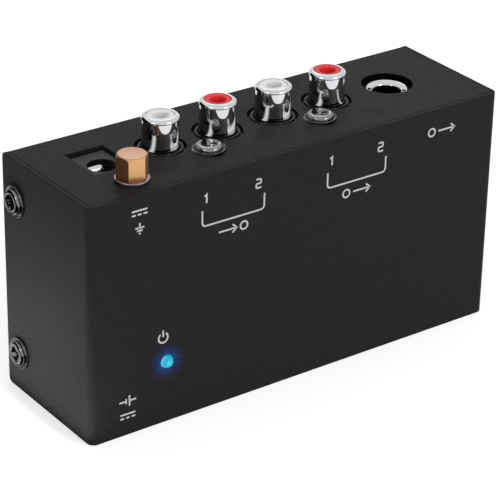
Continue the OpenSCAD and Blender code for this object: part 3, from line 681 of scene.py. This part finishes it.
for name, (place, size, tilt, glow, kinds) in CARDS.items():
    deselect()
    tilt = [math.radians(angle) for angle in tilt]
    bpy.ops.mesh.primitive_plane_add(size=1, location=Vector(place) * MM, rotation=tilt)
    sheet = named(name)
    sheet.scale = (size[0] * MM, size[1] * MM, 1)
    seen_only_by(sheet, kinds)
    cloth = Finish(name)
    upper_side = 1 - cloth.node("ShaderNodeNewGeometry", out="Backfacing")
    strength = WORLD_LIGHT + upper_side * (glow - WORLD_LIGHT) if glow else 0.0
    sheet.data.materials.append(cloth.surface(cloth.glow(strength)))
    sheet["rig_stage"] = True
print("cards:", list(CARDS))

# %% [markdown]
# ## Glare in front of the pin jacks
#
# Seen flat, powder glares along the line to each lamp, and a mirror that stands on the panel shows
# that glare as a bright upright streak. The coat here is set very dull, so two glowing wedges lie
# on the panel beside each jack; only the mirrors see them. Each is a triangle with its point at
# the jack's axis, and its glow fades towards its two long edges.

# %% Glare wedges
GLARE = {"left": (206, 7.6, 15.0, 1.0), "right": (294, 4.4, 15.0, 0.8)}
GLARE_LIFT = 0.06


def glare(name, centre, heading, width, length, strength):
    """A triangle on the panel, from a jack's axis towards a compass heading in degrees."""
    deselect()
    bpy.ops.mesh.primitive_circle_add(vertices=3, radius=1, fill_type="NGON")
    wedge = named(name)
    along, across = length / 1.5, width / math.sqrt(3)
    point_first = Matrix(((0, -along, 0, along), (across, 0, 0, 0), (0, 0, 1, 0), (0, 0, 0, 1)))
    heading = Matrix.Rotation(math.radians(heading), 4, "Z")
    stand = Matrix.Translation(centre + Vector((0, 0, GLARE_LIFT)))
    wedge.matrix_world = Matrix.Scale(MM, 4) @ stand @ heading @ point_first
    seen_only_by(wedge, ("glossy",))
    shine = Finish(name)
    x, y, _ = (value * MM for value in shine.axes())
    off_axis = x / (1.001 - y) * math.sqrt(3)
    soft = shine.clamp(1 - off_axis * off_axis) ** 2
    clear = shine.node("ShaderNodeBsdfTransparent")
    fading = shine.node("ShaderNodeMixShader", {}, [soft, clear, shine.glow(strength)])
    wedge.data.materials.append(shine.surface(fading))
    wedge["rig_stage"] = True


for place, centre in sockets.items():
    for side, (heading, width, length, strength) in GLARE.items():
        glare(f"glare_{side}_{place}", centre, heading, width, length, strength)

# %% [markdown]
# ## Tools for modelling by hand
#
# The pieces are made as one would at the screen: add a primitive, go into edit mode, select by
# place, extrude or bevel, and apply modifiers. These helpers do the steps that repeat. Selecting
# in code is done in object mode, by the flags of faces, edges and points, and edit mode then picks
# them up.

# %% Selecting and settling
def take(piece):
    deselect()
    piece.select_set(True)
    bpy.context.view_layer.objects.active = piece


def choose(piece, kind, test):
    """Edit mode with the faces, edges or points selected whose middle passes the test."""
    take(piece)
    mesh = piece.data
    for group in (mesh.vertices, mesh.edges, mesh.polygons):
        group.foreach_set("select", [False] * len(group))
    if kind == "FACE":
        for face in mesh.polygons:
            face.select = bool(test(face.center / MM, face.normal))
    elif kind == "EDGE":
        for edge in mesh.edges:
            a, b = (mesh.vertices[i].co / MM for i in edge.vertices)
            edge.select = bool(test((a + b) / 2, b - a))
    else:
        for point in mesh.vertices:
            point.select = bool(test(point.co / MM))
    bpy.context.tool_settings.mesh_select_mode = (kind == "VERT", kind == "EDGE", kind == "FACE")
    bpy.ops.object.mode_set(mode="EDIT")


def settle(piece):
    """Puts the place, turn and size of the object into its mesh."""
    take(piece)
    bpy.ops.object.transform_apply(location=True, rotation=True, scale=True)


def modify(piece, kind, **settings):
    take(piece)
    bpy.ops.object.modifier_add(type=kind)
    modifier = piece.modifiers[-1]
    for key, value in settings.items():
        setattr(modifier, key, value)
    bpy.ops.object.modifier_apply(modifier=modifier.name)


def smooth(piece, angle=35):
    take(piece)
    bpy.ops.object.shade_smooth_by_angle(angle=math.radians(angle))
    modify(piece, "WEIGHTED_NORMAL", keep_sharp=True, weight=60)


def soften(piece, width, segments=2, angle=38):
    """Rounds every edge that is sharper than the angle."""
    modify(
        piece, "BEVEL", width=width * MM, segments=segments, limit_method="ANGLE",
        angle_limit=math.radians(angle), use_clamp_overlap=True, harden_normals=False,
    )


def outward(piece):
    choose(piece, "FACE", lambda centre, normal: True)
    bpy.ops.mesh.normals_make_consistent(inside=False)
    deselect()


# %% Primitives by place
def block(name, low, high):
    """A cube between two corners."""
    low, high = Vector(low), Vector(high)
    centre, size = (low + high) / 2, high - low
    deselect()
    bpy.ops.mesh.primitive_cube_add(size=1, location=centre * MM, scale=size * MM)
    piece = named(name)
    settle(piece)
    return piece


ALONG = {"Z": (0, 0, 0), "X": (0, math.pi / 2, 0), "Y": (math.pi / 2, 0, 0)}


def drum(name, centre, radius, length, axis="Z", sides=64):
    """A cylinder round a centre."""
    deselect()
    bpy.ops.mesh.primitive_cylinder_add(
        vertices=sides, radius=radius * MM, depth=length * MM,
        location=Vector(centre) * MM, rotation=ALONG[axis],
    )
    piece = named(name)
    settle(piece)
    return piece


def cut(piece, cutter, keep="DIFFERENCE"):
    """Takes the cutter away from the piece, or keeps what lies in both, and deletes the cutter."""
    modify(piece, "BOOLEAN", operation=keep, solver="EXACT", object=cutter)
    bpy.data.objects.remove(cutter)


# %% Turned shapes
MERGE = 1e-6


def wire(name, points, rounds=None, segments=5):
    """A line through points, by extruding one vertex; rounds maps a corner to its radius."""
    deselect()
    bpy.ops.mesh.primitive_plane_add(size=MM)
    piece = named(name)
    bpy.context.tool_settings.mesh_select_mode = (True, False, False)
    bpy.ops.object.mode_set(mode="EDIT")
    bpy.ops.mesh.select_all(action="SELECT")
    bpy.ops.mesh.merge(type="CENTER")
    here = Vector((0, 0, 0))
    for i, point in enumerate(points):
        step = (Vector(point) - here) * MM
        if i == 0:
            bpy.ops.transform.translate(value=step)
        else:
            bpy.ops.mesh.extrude_region_move(TRANSFORM_OT_translate={"value": step})
        here = Vector(point)
    for i, radius in (rounds or {}).items():
        corner = Vector(points[i])
        choose(piece, "VERT", lambda co: (co - corner).length < 1e-3)
        bpy.ops.mesh.bevel(offset=radius * MM, segments=segments, affect="VERTICES")
    deselect()
    return piece


def turned(name, outline, centre, rounds=None, sides=64, closed=False, segments=5):
    """Spins an outline of (radius, height) round the Z axis at a centre."""
    points = [(r, 0, z) for r, z in outline]
    if closed:
        points.append(points[0])
    piece = wire(name, points, rounds, segments)
    choose(piece, "VERT", lambda co: True)
    bpy.ops.mesh.remove_doubles(threshold=MERGE)
    bpy.ops.mesh.select_all(action="SELECT")
    bpy.ops.mesh.spin(steps=sides, angle=math.tau, center=(0, 0, 0), axis=(0, 0, 1))
    bpy.ops.mesh.select_all(action="SELECT")
    bpy.ops.mesh.remove_doubles(threshold=MERGE)
    bpy.ops.mesh.normals_make_consistent(inside=False)
    deselect()
    piece.location = Vector(centre) * MM
    settle(piece)
    return piece


def quarter(radius, steps):
    """Points of a quarter circle, from straight up to straight out."""
    angles = (math.pi / 2 * i / steps for i in range(steps + 1))
    return [(radius * math.sin(a), radius * math.cos(a)) for a in angles]


# %% Copies
def copied(piece, name, move, turn=None):
    """A copy with a mesh of its own, turned about the origin and then moved."""
    take(piece)
    bpy.ops.object.duplicate(linked=False)
    twin = named(name)
    spin = turn.to_4x4() if turn else Matrix.Identity(4)
    twin.matrix_world = Matrix.Translation(Vector(move) * MM) @ spin @ twin.matrix_world
    settle(twin)
    return twin


def joined(pieces, name):
    """Several pieces made one."""
    deselect()
    for piece in pieces:
        piece.select_set(True)
    bpy.context.view_layer.objects.active = pieces[0]
    bpy.ops.object.join()
    pieces[0].name = name
    return pieces[0]


def from_node(node_name, name, width=0.0):
    """A copy of a CAD node, merged into one skin, freed of its triangles and softened."""
    take(nodes[node_name])
    bpy.ops.object.duplicate(linked=False)
    piece = named(name)
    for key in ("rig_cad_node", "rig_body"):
        del piece[key]
    piece.parent = None
    choose(piece, "FACE", lambda centre, normal: True)
    bpy.ops.mesh.customdata_custom_splitnormals_clear()
    bpy.ops.mesh.remove_doubles(threshold=2e-6)
    bpy.ops.mesh.dissolve_limited(angle_limit=math.radians(0.6))
    deselect()
    if width:
        soften(piece, width)
        smooth(piece)
    return piece


# %% Finished pieces
made = []


def finished(piece, node_name, slot=None):
    """The piece stands for a node: it gets the node's body, and its slot or another one."""
    slot = slot or slot_of[node_name]
    piece.data.materials.clear()
    piece.data.materials.append(finishes[slot])
    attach(piece, body_of[node_name])
    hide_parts(node_name)
    made.append(piece.name)
    print(piece.name, len(piece.data.polygons), "faces")


def softened(node_name, name, width):
    """A CAD node with softer edges, under a new name."""
    finished(from_node(node_name, name, width), node_name)


# %% [markdown]
# ## Cover
#
# The cover is one sheet of steel with two bends: the printed face in the middle and an end on
# each side. A cube loses three faces, its two upright edges are bevelled into bends, Solidify
# gives the wall, and the four free corners of the ends are rounded. The holes for the lamp and the
# four end screws are cut last, and a hair's breadth of bevel stands for the thick skin that powder
# leaves on a cut edge.

# %% Model the cover
COVER_BEND = 1.8
COVER_CORNER = 1.2
LAMP_HOLE_R = 1.55
SCREW_HOLE_R = 1.7
SCREW_Y = 11.55
SCREW_HEIGHTS = (9.6, 46.4)
DRILL = 6

cover = block("cover_shell", box_low, box_high)
choose(cover, "FACE", lambda c, n: n.y > 0.9 or abs(n.z) > 0.9)
bpy.ops.mesh.delete(type="FACE")
choose(cover, "EDGE", lambda c, d: abs(d.z) > 1 and c.y < face_y + 0.1)
bpy.ops.mesh.bevel(offset=COVER_BEND * MM, segments=10, affect="EDGES")
deselect()
modify(cover, "SOLIDIFY", thickness=SHEET * MM, offset=-1, use_even_offset=True)


def free_corner(centre, line):
    """An edge through the sheet, at the rear rim of an end."""
    through = abs(line.x) > 0.5 and abs(line.y) + abs(line.z) < 0.1
    return through and centre.y > box_high.y - 0.1


choose(cover, "EDGE", free_corner)
bpy.ops.mesh.bevel(offset=COVER_CORNER * MM, segments=7, affect="EDGES")
deselect()
cut(cover, drum("drill", (LAMP.x, face_y, LAMP.z), LAMP_HOLE_R, DRILL, "Y"))
end_screws = [(x, SCREW_Y, z) for x in (box_low.x, box_high.x) for z in SCREW_HEIGHTS]
for place in end_screws:
    cut(cover, drum("drill", place, SCREW_HOLE_R, DRILL, "X", sides=32))
soften(cover, 0.13)
smooth(cover)
finished(cover, "cover")

# %% [markdown]
# ## Chassis
#
# The chassis has three faces in a row, end tabs with bend reliefs, and all the cut-outs. Its CAD
# solid already has the true bends, so a copy of it is merged into one skin and its edges are
# softened as the cover's were.

# %% Soften the chassis
softened("chassis", "chassis_shell", 0.12)

# %% [markdown]
# ## Pin-jack blocks
#
# Only the collars of the two mouldings show through the panel, as thin dark rings. The blocks
# keep their CAD shape, but a cone cut into each collar's mouth leaves a black gap round the shell,
# and every edge is rounded.

# %% Soften the jack blocks
COLLAR_TOP = -0.15
MOUTH_LOW = COLLAR_TOP - 0.75
COLLAR_MOUTH = [(0, 0.2), (4.66, 0.2), (4.48, COLLAR_TOP), (4.0, MOUTH_LOW), (0, MOUTH_LOW)]
for side in ("input", "output"):
    jack_block = from_node(f"{side}_jack_block", f"{side}_block")
    for end in ("left", "right"):
        cut(jack_block, turned("mouth", COLLAR_MOUTH, sockets[f"{side}_{end}"]))
    soften(jack_block, 0.16, segments=3, angle=25)
    smooth(jack_block)
    finished(jack_block, f"{side}_jack_block")

# %% [markdown]
# ## Shell of a pin jack
#
# The shell is a drawn tube whose mouth is rolled over into a fat lip, which slopes down to its
# outer edge and stands proud of the tube. The tube narrows a hair below the lip, so that it
# mirrors the table beyond the box as a pale drop. The outline is drawn once and spun.

# %% Spin the shell and copy it
SHELL_OUTLINE = [
    (3.65, -5.0), (3.95, -5.0), (3.95, 0.05), (4.08, 0.18), (4.08, 3.50), (3.90, 6.30),
    (4.15, 6.45), (4.15, 6.80), (3.82, 7.20), (3.32, 7.40), (3.10, 7.34), (3.10, 6.98),
    (3.60, 6.94),
]
SHELL_ROUNDS = {3: 0.05, 4: 0.9, 6: 0.10, 7: 0.16, 8: 0.20, 9: 0.18, 10: 0.08}
first_socket = sockets["input_left"]


def at_each_socket(piece, kind, ending):
    """Copies the piece from the first socket to all four, and deletes it."""
    smooth(piece, 32)
    for place in SOCKETS:
        name = place.replace("_", f"_{kind}_")
        twin = copied(piece, f"{name}_{ending}", sockets[place] - first_socket)
        finished(twin, name)
    bpy.data.objects.remove(piece)


shell = turned("shell", SHELL_OUTLINE, first_socket, SHELL_ROUNDS, sides=96, closed=True)
at_each_socket(shell, "shell", "tube")

# %% [markdown]
# ## Insulator of a pin jack
#
# The coloured disc is the top of a plug of plastic that fills the shell. It has a small edge
# inside the lip, a nearly flat face, and a hole whose mouth is flared for the plug's pin.

# %% Spin the insulator and copy it
INSULATOR_OUTLINE = [
    (2.0, -6.4), (3.6, -6.4), (3.6, 6.88), (3.05, 6.88), (3.05, 7.24), (1.92, 7.22),
    (1.75, 6.95), (1.75, 4.2), (2.0, 4.2),
]
insulator = turned(
    "insulator", INSULATOR_OUTLINE, first_socket, {4: 0.10, 5: 0.08}, sides=80, closed=True,
    segments=4,
)
at_each_socket(insulator, "insulator", "disc")

# %% [markdown]
# ## Contact of a pin jack
#
# The pin hole is dark, but close up the bronze tube that grips the pin shows in it: a thin tube
# with a slot. The four CAD solids have that shape, and get softer edges.

# %% Soften the contacts
for place in SOCKETS:
    name = place.replace("_", "_contact_")
    softened(name, f"{name}_tube", 0.06)

# %% [markdown]
# ## Washer-head screws
#
# The screw is the most detailed small part: a thin washer rim, a dished valley behind it, a
# rounded head with a flat top, and a cross recess. The body is spun. The recess is cut with two
# crossed bars and a well that taper downwards. One screw is made at the origin, and six copies are
# turned into place.

# %% Model one screw
SCREW_OUTLINE = [
    (0, 1.55), (2.30, 1.55), (2.78, 1.32), (2.92, 0.95), (2.96, 0.46), (3.22, 0.40), (3.40, 0.60),
    (3.57, 0.58), (3.60, 0.10), (3.50, 0.0), (1.40, 0.0), (1.40, -5.0), (0, -5.0),
]
SCREW_ROUNDS = {1: 0.30, 2: 0.22, 3: 0.15, 4: 0.08, 5: 0.08, 6: 0.06, 7: 0.06, 8: 0.05}
RECESS_ARM = Vector((2.15, 0.50))
RECESS_LOW = 0.62
RECESS_HIGH = 2.2
WELL_R = 0.92


def tapered(piece, x, y):
    """Shrinks the lower face of a piece."""
    choose(piece, "FACE", lambda c, n: n.z < -0.9)
    bpy.ops.transform.resize(value=(x, y, 1))
    deselect()


screw = turned("screw", SCREW_OUTLINE, (0, 0, 0), SCREW_ROUNDS, segments=3)
for angle in (0, 90):
    bar = block("bar", (*-RECESS_ARM, RECESS_LOW), (*RECESS_ARM, RECESS_HIGH))
    tapered(bar, 0.42, 0.62)
    bar.rotation_euler.z = math.radians(angle)
    settle(bar)
    cut(screw, bar)
well = drum("well", (0, 0, 1.3), WELL_R, 1.6, sides=24)
tapered(well, 0.35, 0.35)
cut(screw, well)
soften(screw, 0.045, angle=50)
smooth(screw, 38)

# %% Place the screws
UP = Matrix.Identity(3)
TO_LEFT = Matrix.Rotation(-math.pi / 2, 3, "Y")
TO_RIGHT = Matrix.Rotation(math.pi / 2, 3, "Y")
BLOCK_SCREW_Y = -6.7
BLOCK_SPINS = (-34, -30)
END_SPINS = (20, -12, 8, 33)


def screws_at(name, stands, node_name):
    """One piece from copies of the screw; each stand is a place, a spin and a lean."""
    twins = [
        copied(screw, name, place, lean @ Matrix.Rotation(math.radians(spin), 3, "Z"))
        for place, spin, lean in stands
    ]
    finished(joined(twins, name), node_name)


between = [(sockets[a].x + sockets[b].x) / 2 for a, b in (SOCKETS[:2], SOCKETS[2:])]
screws_at(
    "block_screws",
    [((x, BLOCK_SCREW_Y, panel_z), spin, UP) for x, spin in zip(between, BLOCK_SPINS)],
    "jack_block_screws",
)
screws_at(
    "end_screws",
    [(p, spin, TO_RIGHT if p[0] > 0 else TO_LEFT) for p, spin in zip(end_screws, END_SPINS)],
    "cover_screws",
)
bpy.data.objects.remove(screw)

# %% [markdown]
# ## 6.35 mm jack
#
# The jack sits a millimetre below the panel, behind a hole that is wider than the jack's own ring:
# a black gap, a bright ring with a shallow funnel, and a dark bore with leaf springs. The ring is
# spun, the moulding and the springs are the CAD solids with rounded edges.

# %% Ring, moulding and springs of the jack
RING_OUTLINE = [(3.25, 0.0), (4.8, 0.0), (4.8, 6.0), (4.45, 6.0), (3.25, 5.35)]
RING_ROUNDS = {1: 0.15, 2: 0.22, 3: 0.20, 4: 0.18}
ring_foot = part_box("phone_jack_ferrule")[0].z / MM
jack_ring = turned(
    "jack_ring", RING_OUTLINE, (JACK.x, JACK.y, ring_foot), RING_ROUNDS,
    sides=80, closed=True, segments=4,
)
smooth(jack_ring, 32)
finished(jack_ring, "phone_jack_ferrule")
softened("phone_jack_body", "jack_moulding", 0.2)
for spring in ("tip", "ring", "sleeve"):
    softened(f"phone_jack_{spring}_spring", f"jack_{spring}_leaf", 0.08)

# %% [markdown]
# ## Power socket
#
# The socket's face lies a little below the panel. In its hole stand a thin pin with a round tip
# and a bright leaf that is bent outwards near the mouth, which the eye finds first. The leaf is a
# wire with rounded corners, extruded sideways and given a wall.

# %% Moulding and pin
PIN_R = 1.0
softened("dc_jack_body", "power_moulding", 0.12)
pin_low, pin_high = corners("dc_jack_pin")
pin_top = Vector(((pin_low.x + pin_high.x) / 2, (pin_low.y + pin_high.y) / 2, pin_high.z))
pin_foot = pin_low.z - pin_high.z
dome = [(r, h - PIN_R) for r, h in quarter(PIN_R, 8)]
pin = turned("power_pin", dome + [(PIN_R, pin_foot), (0, pin_foot)], pin_top, sides=40)
smooth(pin, 32)
finished(pin, "dc_jack_pin")

# %% Leaf
LEAF_WIDTH = 3.8
LEAF_WALL = 0.35
leaf_low, leaf_high = corners("dc_jack_spring")
leaf_x = (leaf_low.x + leaf_high.x) / 2 - LEAF_WIDTH / 2
far_y = leaf_high.y - LEAF_WALL / 2
near_y = leaf_low.y + LEAF_WALL / 2
leaf = wire(
    "power_leaf",
    [
        (leaf_x, far_y, leaf_low.z), (leaf_x, far_y, leaf_low.z + 3),
        (leaf_x, near_y, leaf_high.z - 1.0), (leaf_x, near_y + 1.05, leaf_high.z - 0.14),
    ],
    {1: 0.8, 2: 0.30}, segments=6,
)
choose(leaf, "EDGE", lambda c, d: True)
bpy.ops.mesh.extrude_region_move(TRANSFORM_OT_translate={"value": (LEAF_WIDTH * MM, 0, 0)})
deselect()
modify(leaf, "SOLIDIFY", thickness=LEAF_WALL * MM, offset=0)
outward(leaf)
soften(leaf, 0.06)
smooth(leaf, 40)
finished(leaf, "dc_jack_spring", slot="chrome_plate")

# %% [markdown]
# ## Ground terminal
#
# The nut is a closed hexagon whose top is turned down to a round face. As on a lathe, a six-sided
# bar meets a turned outline, and only what lies in both stays. The bar stands as the tightened nut
# happened to stand. Under the nut lie a washer and the threaded stud, both spun; the lug and the
# lock nut inside are the CAD solids with softer edges.

# %% Nut
NUT_FLATS = 6.2
NUT_TURN = 16
NUT_TOP_EDGE = 0.55
NUT_BORE_R = 2.05
BORE_DEPTH = 4.1
nut_low, nut_high = corners("ground_nut")
nut_x, nut_y = ((nut_low + nut_high) / 2).xy
nut_h = nut_high.z - nut_low.z
corner_r = NUT_FLATS / 2 / math.cos(math.pi / 6)
nut = drum("ground_nut_body", (0, 0, nut_h / 2), corner_r, nut_h, sides=6)
nut.rotation_euler.z = math.radians(NUT_TURN)
settle(nut)
top_r = NUT_FLATS / 2 - 0.12
reach = corner_r + 1.0
slope = NUT_TOP_EDGE / (corner_r - top_r)
NUT_OUTLINE = [
    (0, nut_h), (top_r, nut_h), (reach, nut_h - slope * (reach - top_r)), (reach, 1.2),
    (corner_r - 0.2, 0), (0, 0),
]
cut(nut, turned("envelope", NUT_OUTLINE, (0, 0, 0), sides=96), keep="INTERSECT")
cut(nut, drum("bore", (0, 0, BORE_DEPTH / 2 - 0.5), NUT_BORE_R, BORE_DEPTH + 1, sides=48))
nut.location = Vector((nut_x, nut_y, nut_low.z)) * MM
settle(nut)
soften(nut, 0.10, segments=3, angle=25)
smooth(nut, 30)
finished(nut, "ground_nut")

# %% Washer, stud, lug and lock nut
WASHER_HOLE_R = 2.1
washer_low, washer_high = corners("ground_washer")
washer_t = washer_high.z - washer_low.z
washer_r = (washer_high.x - washer_low.x) / 2
washer = turned(
    "terminal_washer",
    [(WASHER_HOLE_R, 0), (washer_r, 0), (washer_r, washer_t), (WASHER_HOLE_R, washer_t)],
    (nut_x, nut_y, washer_low.z), {1: 0.12, 2: 0.22, 3: 0.12}, sides=80, closed=True, segments=4,
)
smooth(washer, 32)
finished(washer, "ground_washer")

STUD_R = 2.0
STUD_TIP_R = STUD_R - 0.35
THREAD_ROOT_R = STUD_R - 0.32
THREAD_PITCH = 0.7
stud_low, stud_high = corners("ground_stud")
thread = [(0, stud_low.z), (STUD_TIP_R, stud_low.z)]
z = stud_low.z + 0.35
while z < stud_high.z - THREAD_PITCH:
    thread += [(THREAD_ROOT_R, z), (STUD_R, z + THREAD_PITCH / 2)]
    z += THREAD_PITCH
thread += [(STUD_TIP_R, stud_high.z), (0, stud_high.z)]
stud = turned("terminal_stud", thread, (nut_x, nut_y, 0), sides=40)
smooth(stud, 25)
finished(stud, "ground_stud")
softened("ground_lug", "terminal_lug", 0.1)
softened("ground_lock_nut", "terminal_lock_nut", 0.15)

# %% [markdown]
# ## Lamp
#
# The lamp is a 3 mm lens: a cylinder with a half ball on it and a flange at its foot, spun upright
# and then laid down so that the ball points out of the printed face.

# %% Lamp
LENS_R = 1.5
LENS_LENGTH = 5.3
FLANGE_R = 1.9
FLANGE_T = 1.0
_, lamp_high = corners("indicator_led")
ball = [(r, LENS_LENGTH - LENS_R + h) for r, h in quarter(LENS_R, 12)]
lens = turned(
    "lamp_lens", ball + [(LENS_R, FLANGE_T), (FLANGE_R, FLANGE_T), (FLANGE_R, 0), (0, 0)],
    (0, 0, 0), {14: 0.1, 15: 0.1},
)
lens.rotation_euler.x = math.pi / 2
lens.location = Vector((LAMP.x, lamp_high.y, LAMP.z)) * MM
settle(lens)
smooth(lens, 32)
finished(lens, "indicator_led")

# %% [markdown]
# ## Feet, switch, battery compartment and board
#
# In use the box lies on its large hidden face, which has four rubber feet and the battery door. A
# foot is spun once and copied. The switch, the door, the compartment and the parts on the board
# keep their CAD solids, with the rounded edges of mouldings and pressings.

# %% Feet
FOOT_R = 4.2
feet_low, feet_high = corners("rubber_feet")
foot_h = feet_high.y - feet_low.y
DIMPLE_H = foot_h - 0.75
FOOT_OUTLINE = [
    (0, DIMPLE_H), (0.9, DIMPLE_H), (1.55, foot_h), (3.55, foot_h), (FOOT_R - 0.12, 0.25),
    (FOOT_R, 0), (0, 0),
]
foot = turned("foot", FOOT_OUTLINE, (0, 0, 0), {1: 0.3, 2: 0.2, 3: 0.3}, segments=4)
foot.rotation_euler.x = -math.pi / 2
settle(foot)
feet = joined(
    [
        copied(foot, "feet", (x, feet_low.y, z))
        for x in (feet_low.x + FOOT_R, feet_high.x - FOOT_R)
        for z in (feet_low.z + FOOT_R, feet_high.z - FOOT_R)
    ],
    "feet",
)
bpy.data.objects.remove(foot)
smooth(feet)
finished(feet, "rubber_feet")

# %% Switch, door, compartment, battery and parts of the board
SOFTENED = {
    "selector_switch_body": ("switch_frame", 0.12),
    "selector_slider": ("slider_knob", 0.07),
    "battery_tray": ("compartment", 0.2),
    "battery_door": ("door_lid", 0.1),
    "battery": ("battery_block", 0.3),
    "battery_snap": ("snap_cap", 0.4),
    "circuit_board": ("board", 0.06),
    "clinch_standoffs": ("posts", 0.08),
    "board_screws": ("board_pan_screws", 0.1),
    "tray_screws": ("tray_pan_screws", 0.1),
    "op_amp_chips": ("chips", 0.12),
    "electrolytic_capacitors": ("cans", 0.12),
    "film_capacitors": ("film_parts", 0.3),
    "voltage_regulator": ("regulator", 0.1),
}
for node_name, (name, width) in SOFTENED.items():
    softened(node_name, name, width)

# %% [markdown]
# ## Marks on the printed face
#
# The face carries short plain marks in light ink: brackets that join two sockets, the numbers of
# the two channels, arrows into and out of a socket, and the usual signs for power, direct current,
# ground and battery. All are drawn with one pen: a stroke is a wire that is extruded into a low
# wall and thickened to the width of the pen. All strokes become one piece.

# %% The signs
# Each sign is a list of strokes, and each stroke a list of points, in units of the sign's height.
CIRCLE_R = 0.42
CIRCLE = [(math.cos(math.tau * i / 20), math.sin(math.tau * i / 20)) for i in range(21)]
ARROW = [[(0.0, 0.5), (2.1, 0.5)], [(1.6, 0.94), (2.1, 0.5), (1.6, 0.06)]]


def circle(x, start=0, last=20):
    return [(x + CIRCLE_R * u, 0.5 + CIRCLE_R * v) for u, v in CIRCLE[start:last + 1]]


SIGNS = {
    "1": [[(0, 0.80), (0.28, 1), (0.28, 0)]],
    "2": [[(0, 1), (0.62, 1), (0.62, 0.5), (0, 0.5), (0, 0), (0.66, 0)]],
    "in": ARROW + [circle(2.94)],
    "out": [circle(0.42)] + [[(1.28 + u, v) for u, v in part] for part in ARROW],
    "power": [[(u, v) for v, u in circle(0.42, start=2, last=18)], [(0.5, 1.05), (0.5, 0.5)]],
    "direct": [
        [(0, 0.72), (1.8, 0.72)],
        [(0, 0.28), (0.44, 0.28)], [(0.68, 0.28), (1.12, 0.28)], [(1.36, 0.28), (1.8, 0.28)],
    ],
    "ground": [
        [(0.5, 1.1), (0.5, 0.6)],
        [(0, 0.6), (1, 0.6)], [(0.2, 0.3), (0.8, 0.3)], [(0.4, 0), (0.6, 0)],
    ],
    "battery": [
        [(0, 0.5), (0.8, 0.5)], [(0.8, 0.2), (0.8, 0.8)],
        [(1.2, -0.1), (1.2, 1.1)], [(1.2, 0.5), (2.0, 0.5)],
    ],
}

# %% The pen
PEN = 0.40
INK = 0.02
strokes = []


def stroke(points, corner=0.0):
    """One pen stroke along points of (x, z) on the printed face."""
    rounds = {i: corner for i in range(1, len(points) - 1)} if corner else {}
    line = wire("stroke", [(x, face_y, z) for x, z in points], rounds, segments=4)
    choose(line, "VERT", lambda co: True)
    bpy.ops.mesh.remove_doubles(threshold=MERGE)
    bpy.ops.mesh.select_all(action="SELECT")
    bpy.ops.mesh.extrude_region_move(TRANSFORM_OT_translate={"value": (0, -INK * MM, 0)})
    outward(line)
    modify(line, "SOLIDIFY", thickness=PEN * MM, offset=0, use_even_offset=True)
    outward(line)
    strokes.append(line)


def mark(sign, left, low, height):
    """Draws a sign with its lower left corner at a place."""
    for part in SIGNS[sign]:
        corner = 0.3 if sign == "2" else 0.0
        stroke([(left + u * height, low + v * height) for u, v in part], corner)


# %% Draw the marks
# Each place is counted from the left end and the foot of the face.
LEFT_END = box_low.x
BRACKETS = ((28.1, 44.4), (61.0, 44.6))
BRACKET_WIDTH = 16.0
BRACKET_HEIGHT = 3.7
MARKS = (
    ("in", 32.4, 40.8, 2.2),
    ("out", 65.4, 40.9, 2.2),
    ("out", 89.0, 49.6, 2.2),
    ("power", 16.9, 19.7, 2.8),
    ("direct", 10.6, 51.0, 2.1),
    ("ground", 11.4, 47.2, 2.2),
    ("battery", 7.2, 7.3, 2.1),
    ("direct", 7.4, 3.7, 2.1),
)
for left, low in BRACKETS:
    a, b = LEFT_END + left, LEFT_END + left + BRACKET_WIDTH
    high = low + BRACKET_HEIGHT
    stroke([(a, high), (a, low), (b, low), (b, high)], 0.9)
    mark("1", a + 0.5, low + 5.3, 2.0)
    mark("2", b - 2.2, low + 5.3, 2.0)
for sign, left, low, height in MARKS:
    mark(sign, LEFT_END + left, low, height)
marks = joined(strokes, "face_marks")


def legend_ink():
    ink = Finish("legend_ink")
    fine = ink.noise(0.3, detail=3.0)
    return ink.done(
        Base_Color=ink.mix(fine, (0.50, 0.50, 0.50), (0.66, 0.66, 0.65)),
        Roughness=0.42 + fine * 0.14,
        Normal=ink.bump(fine, 0.01, 0.4),
    )


marks.data.materials.clear()
marks.data.materials.append(legend_ink())
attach(marks, "box")
made.append(marks.name)
print("marks:", len(marks.data.polygons), "faces")


# %% [markdown]
# ## Measure and finish
#
# The size of the dressed object's box is printed, with the number of pieces.

# %% The box of the dressed object
low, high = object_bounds()
print("visual size in mm:", [round(v / MM, 2) for v in high - low], "pieces:", len(made))
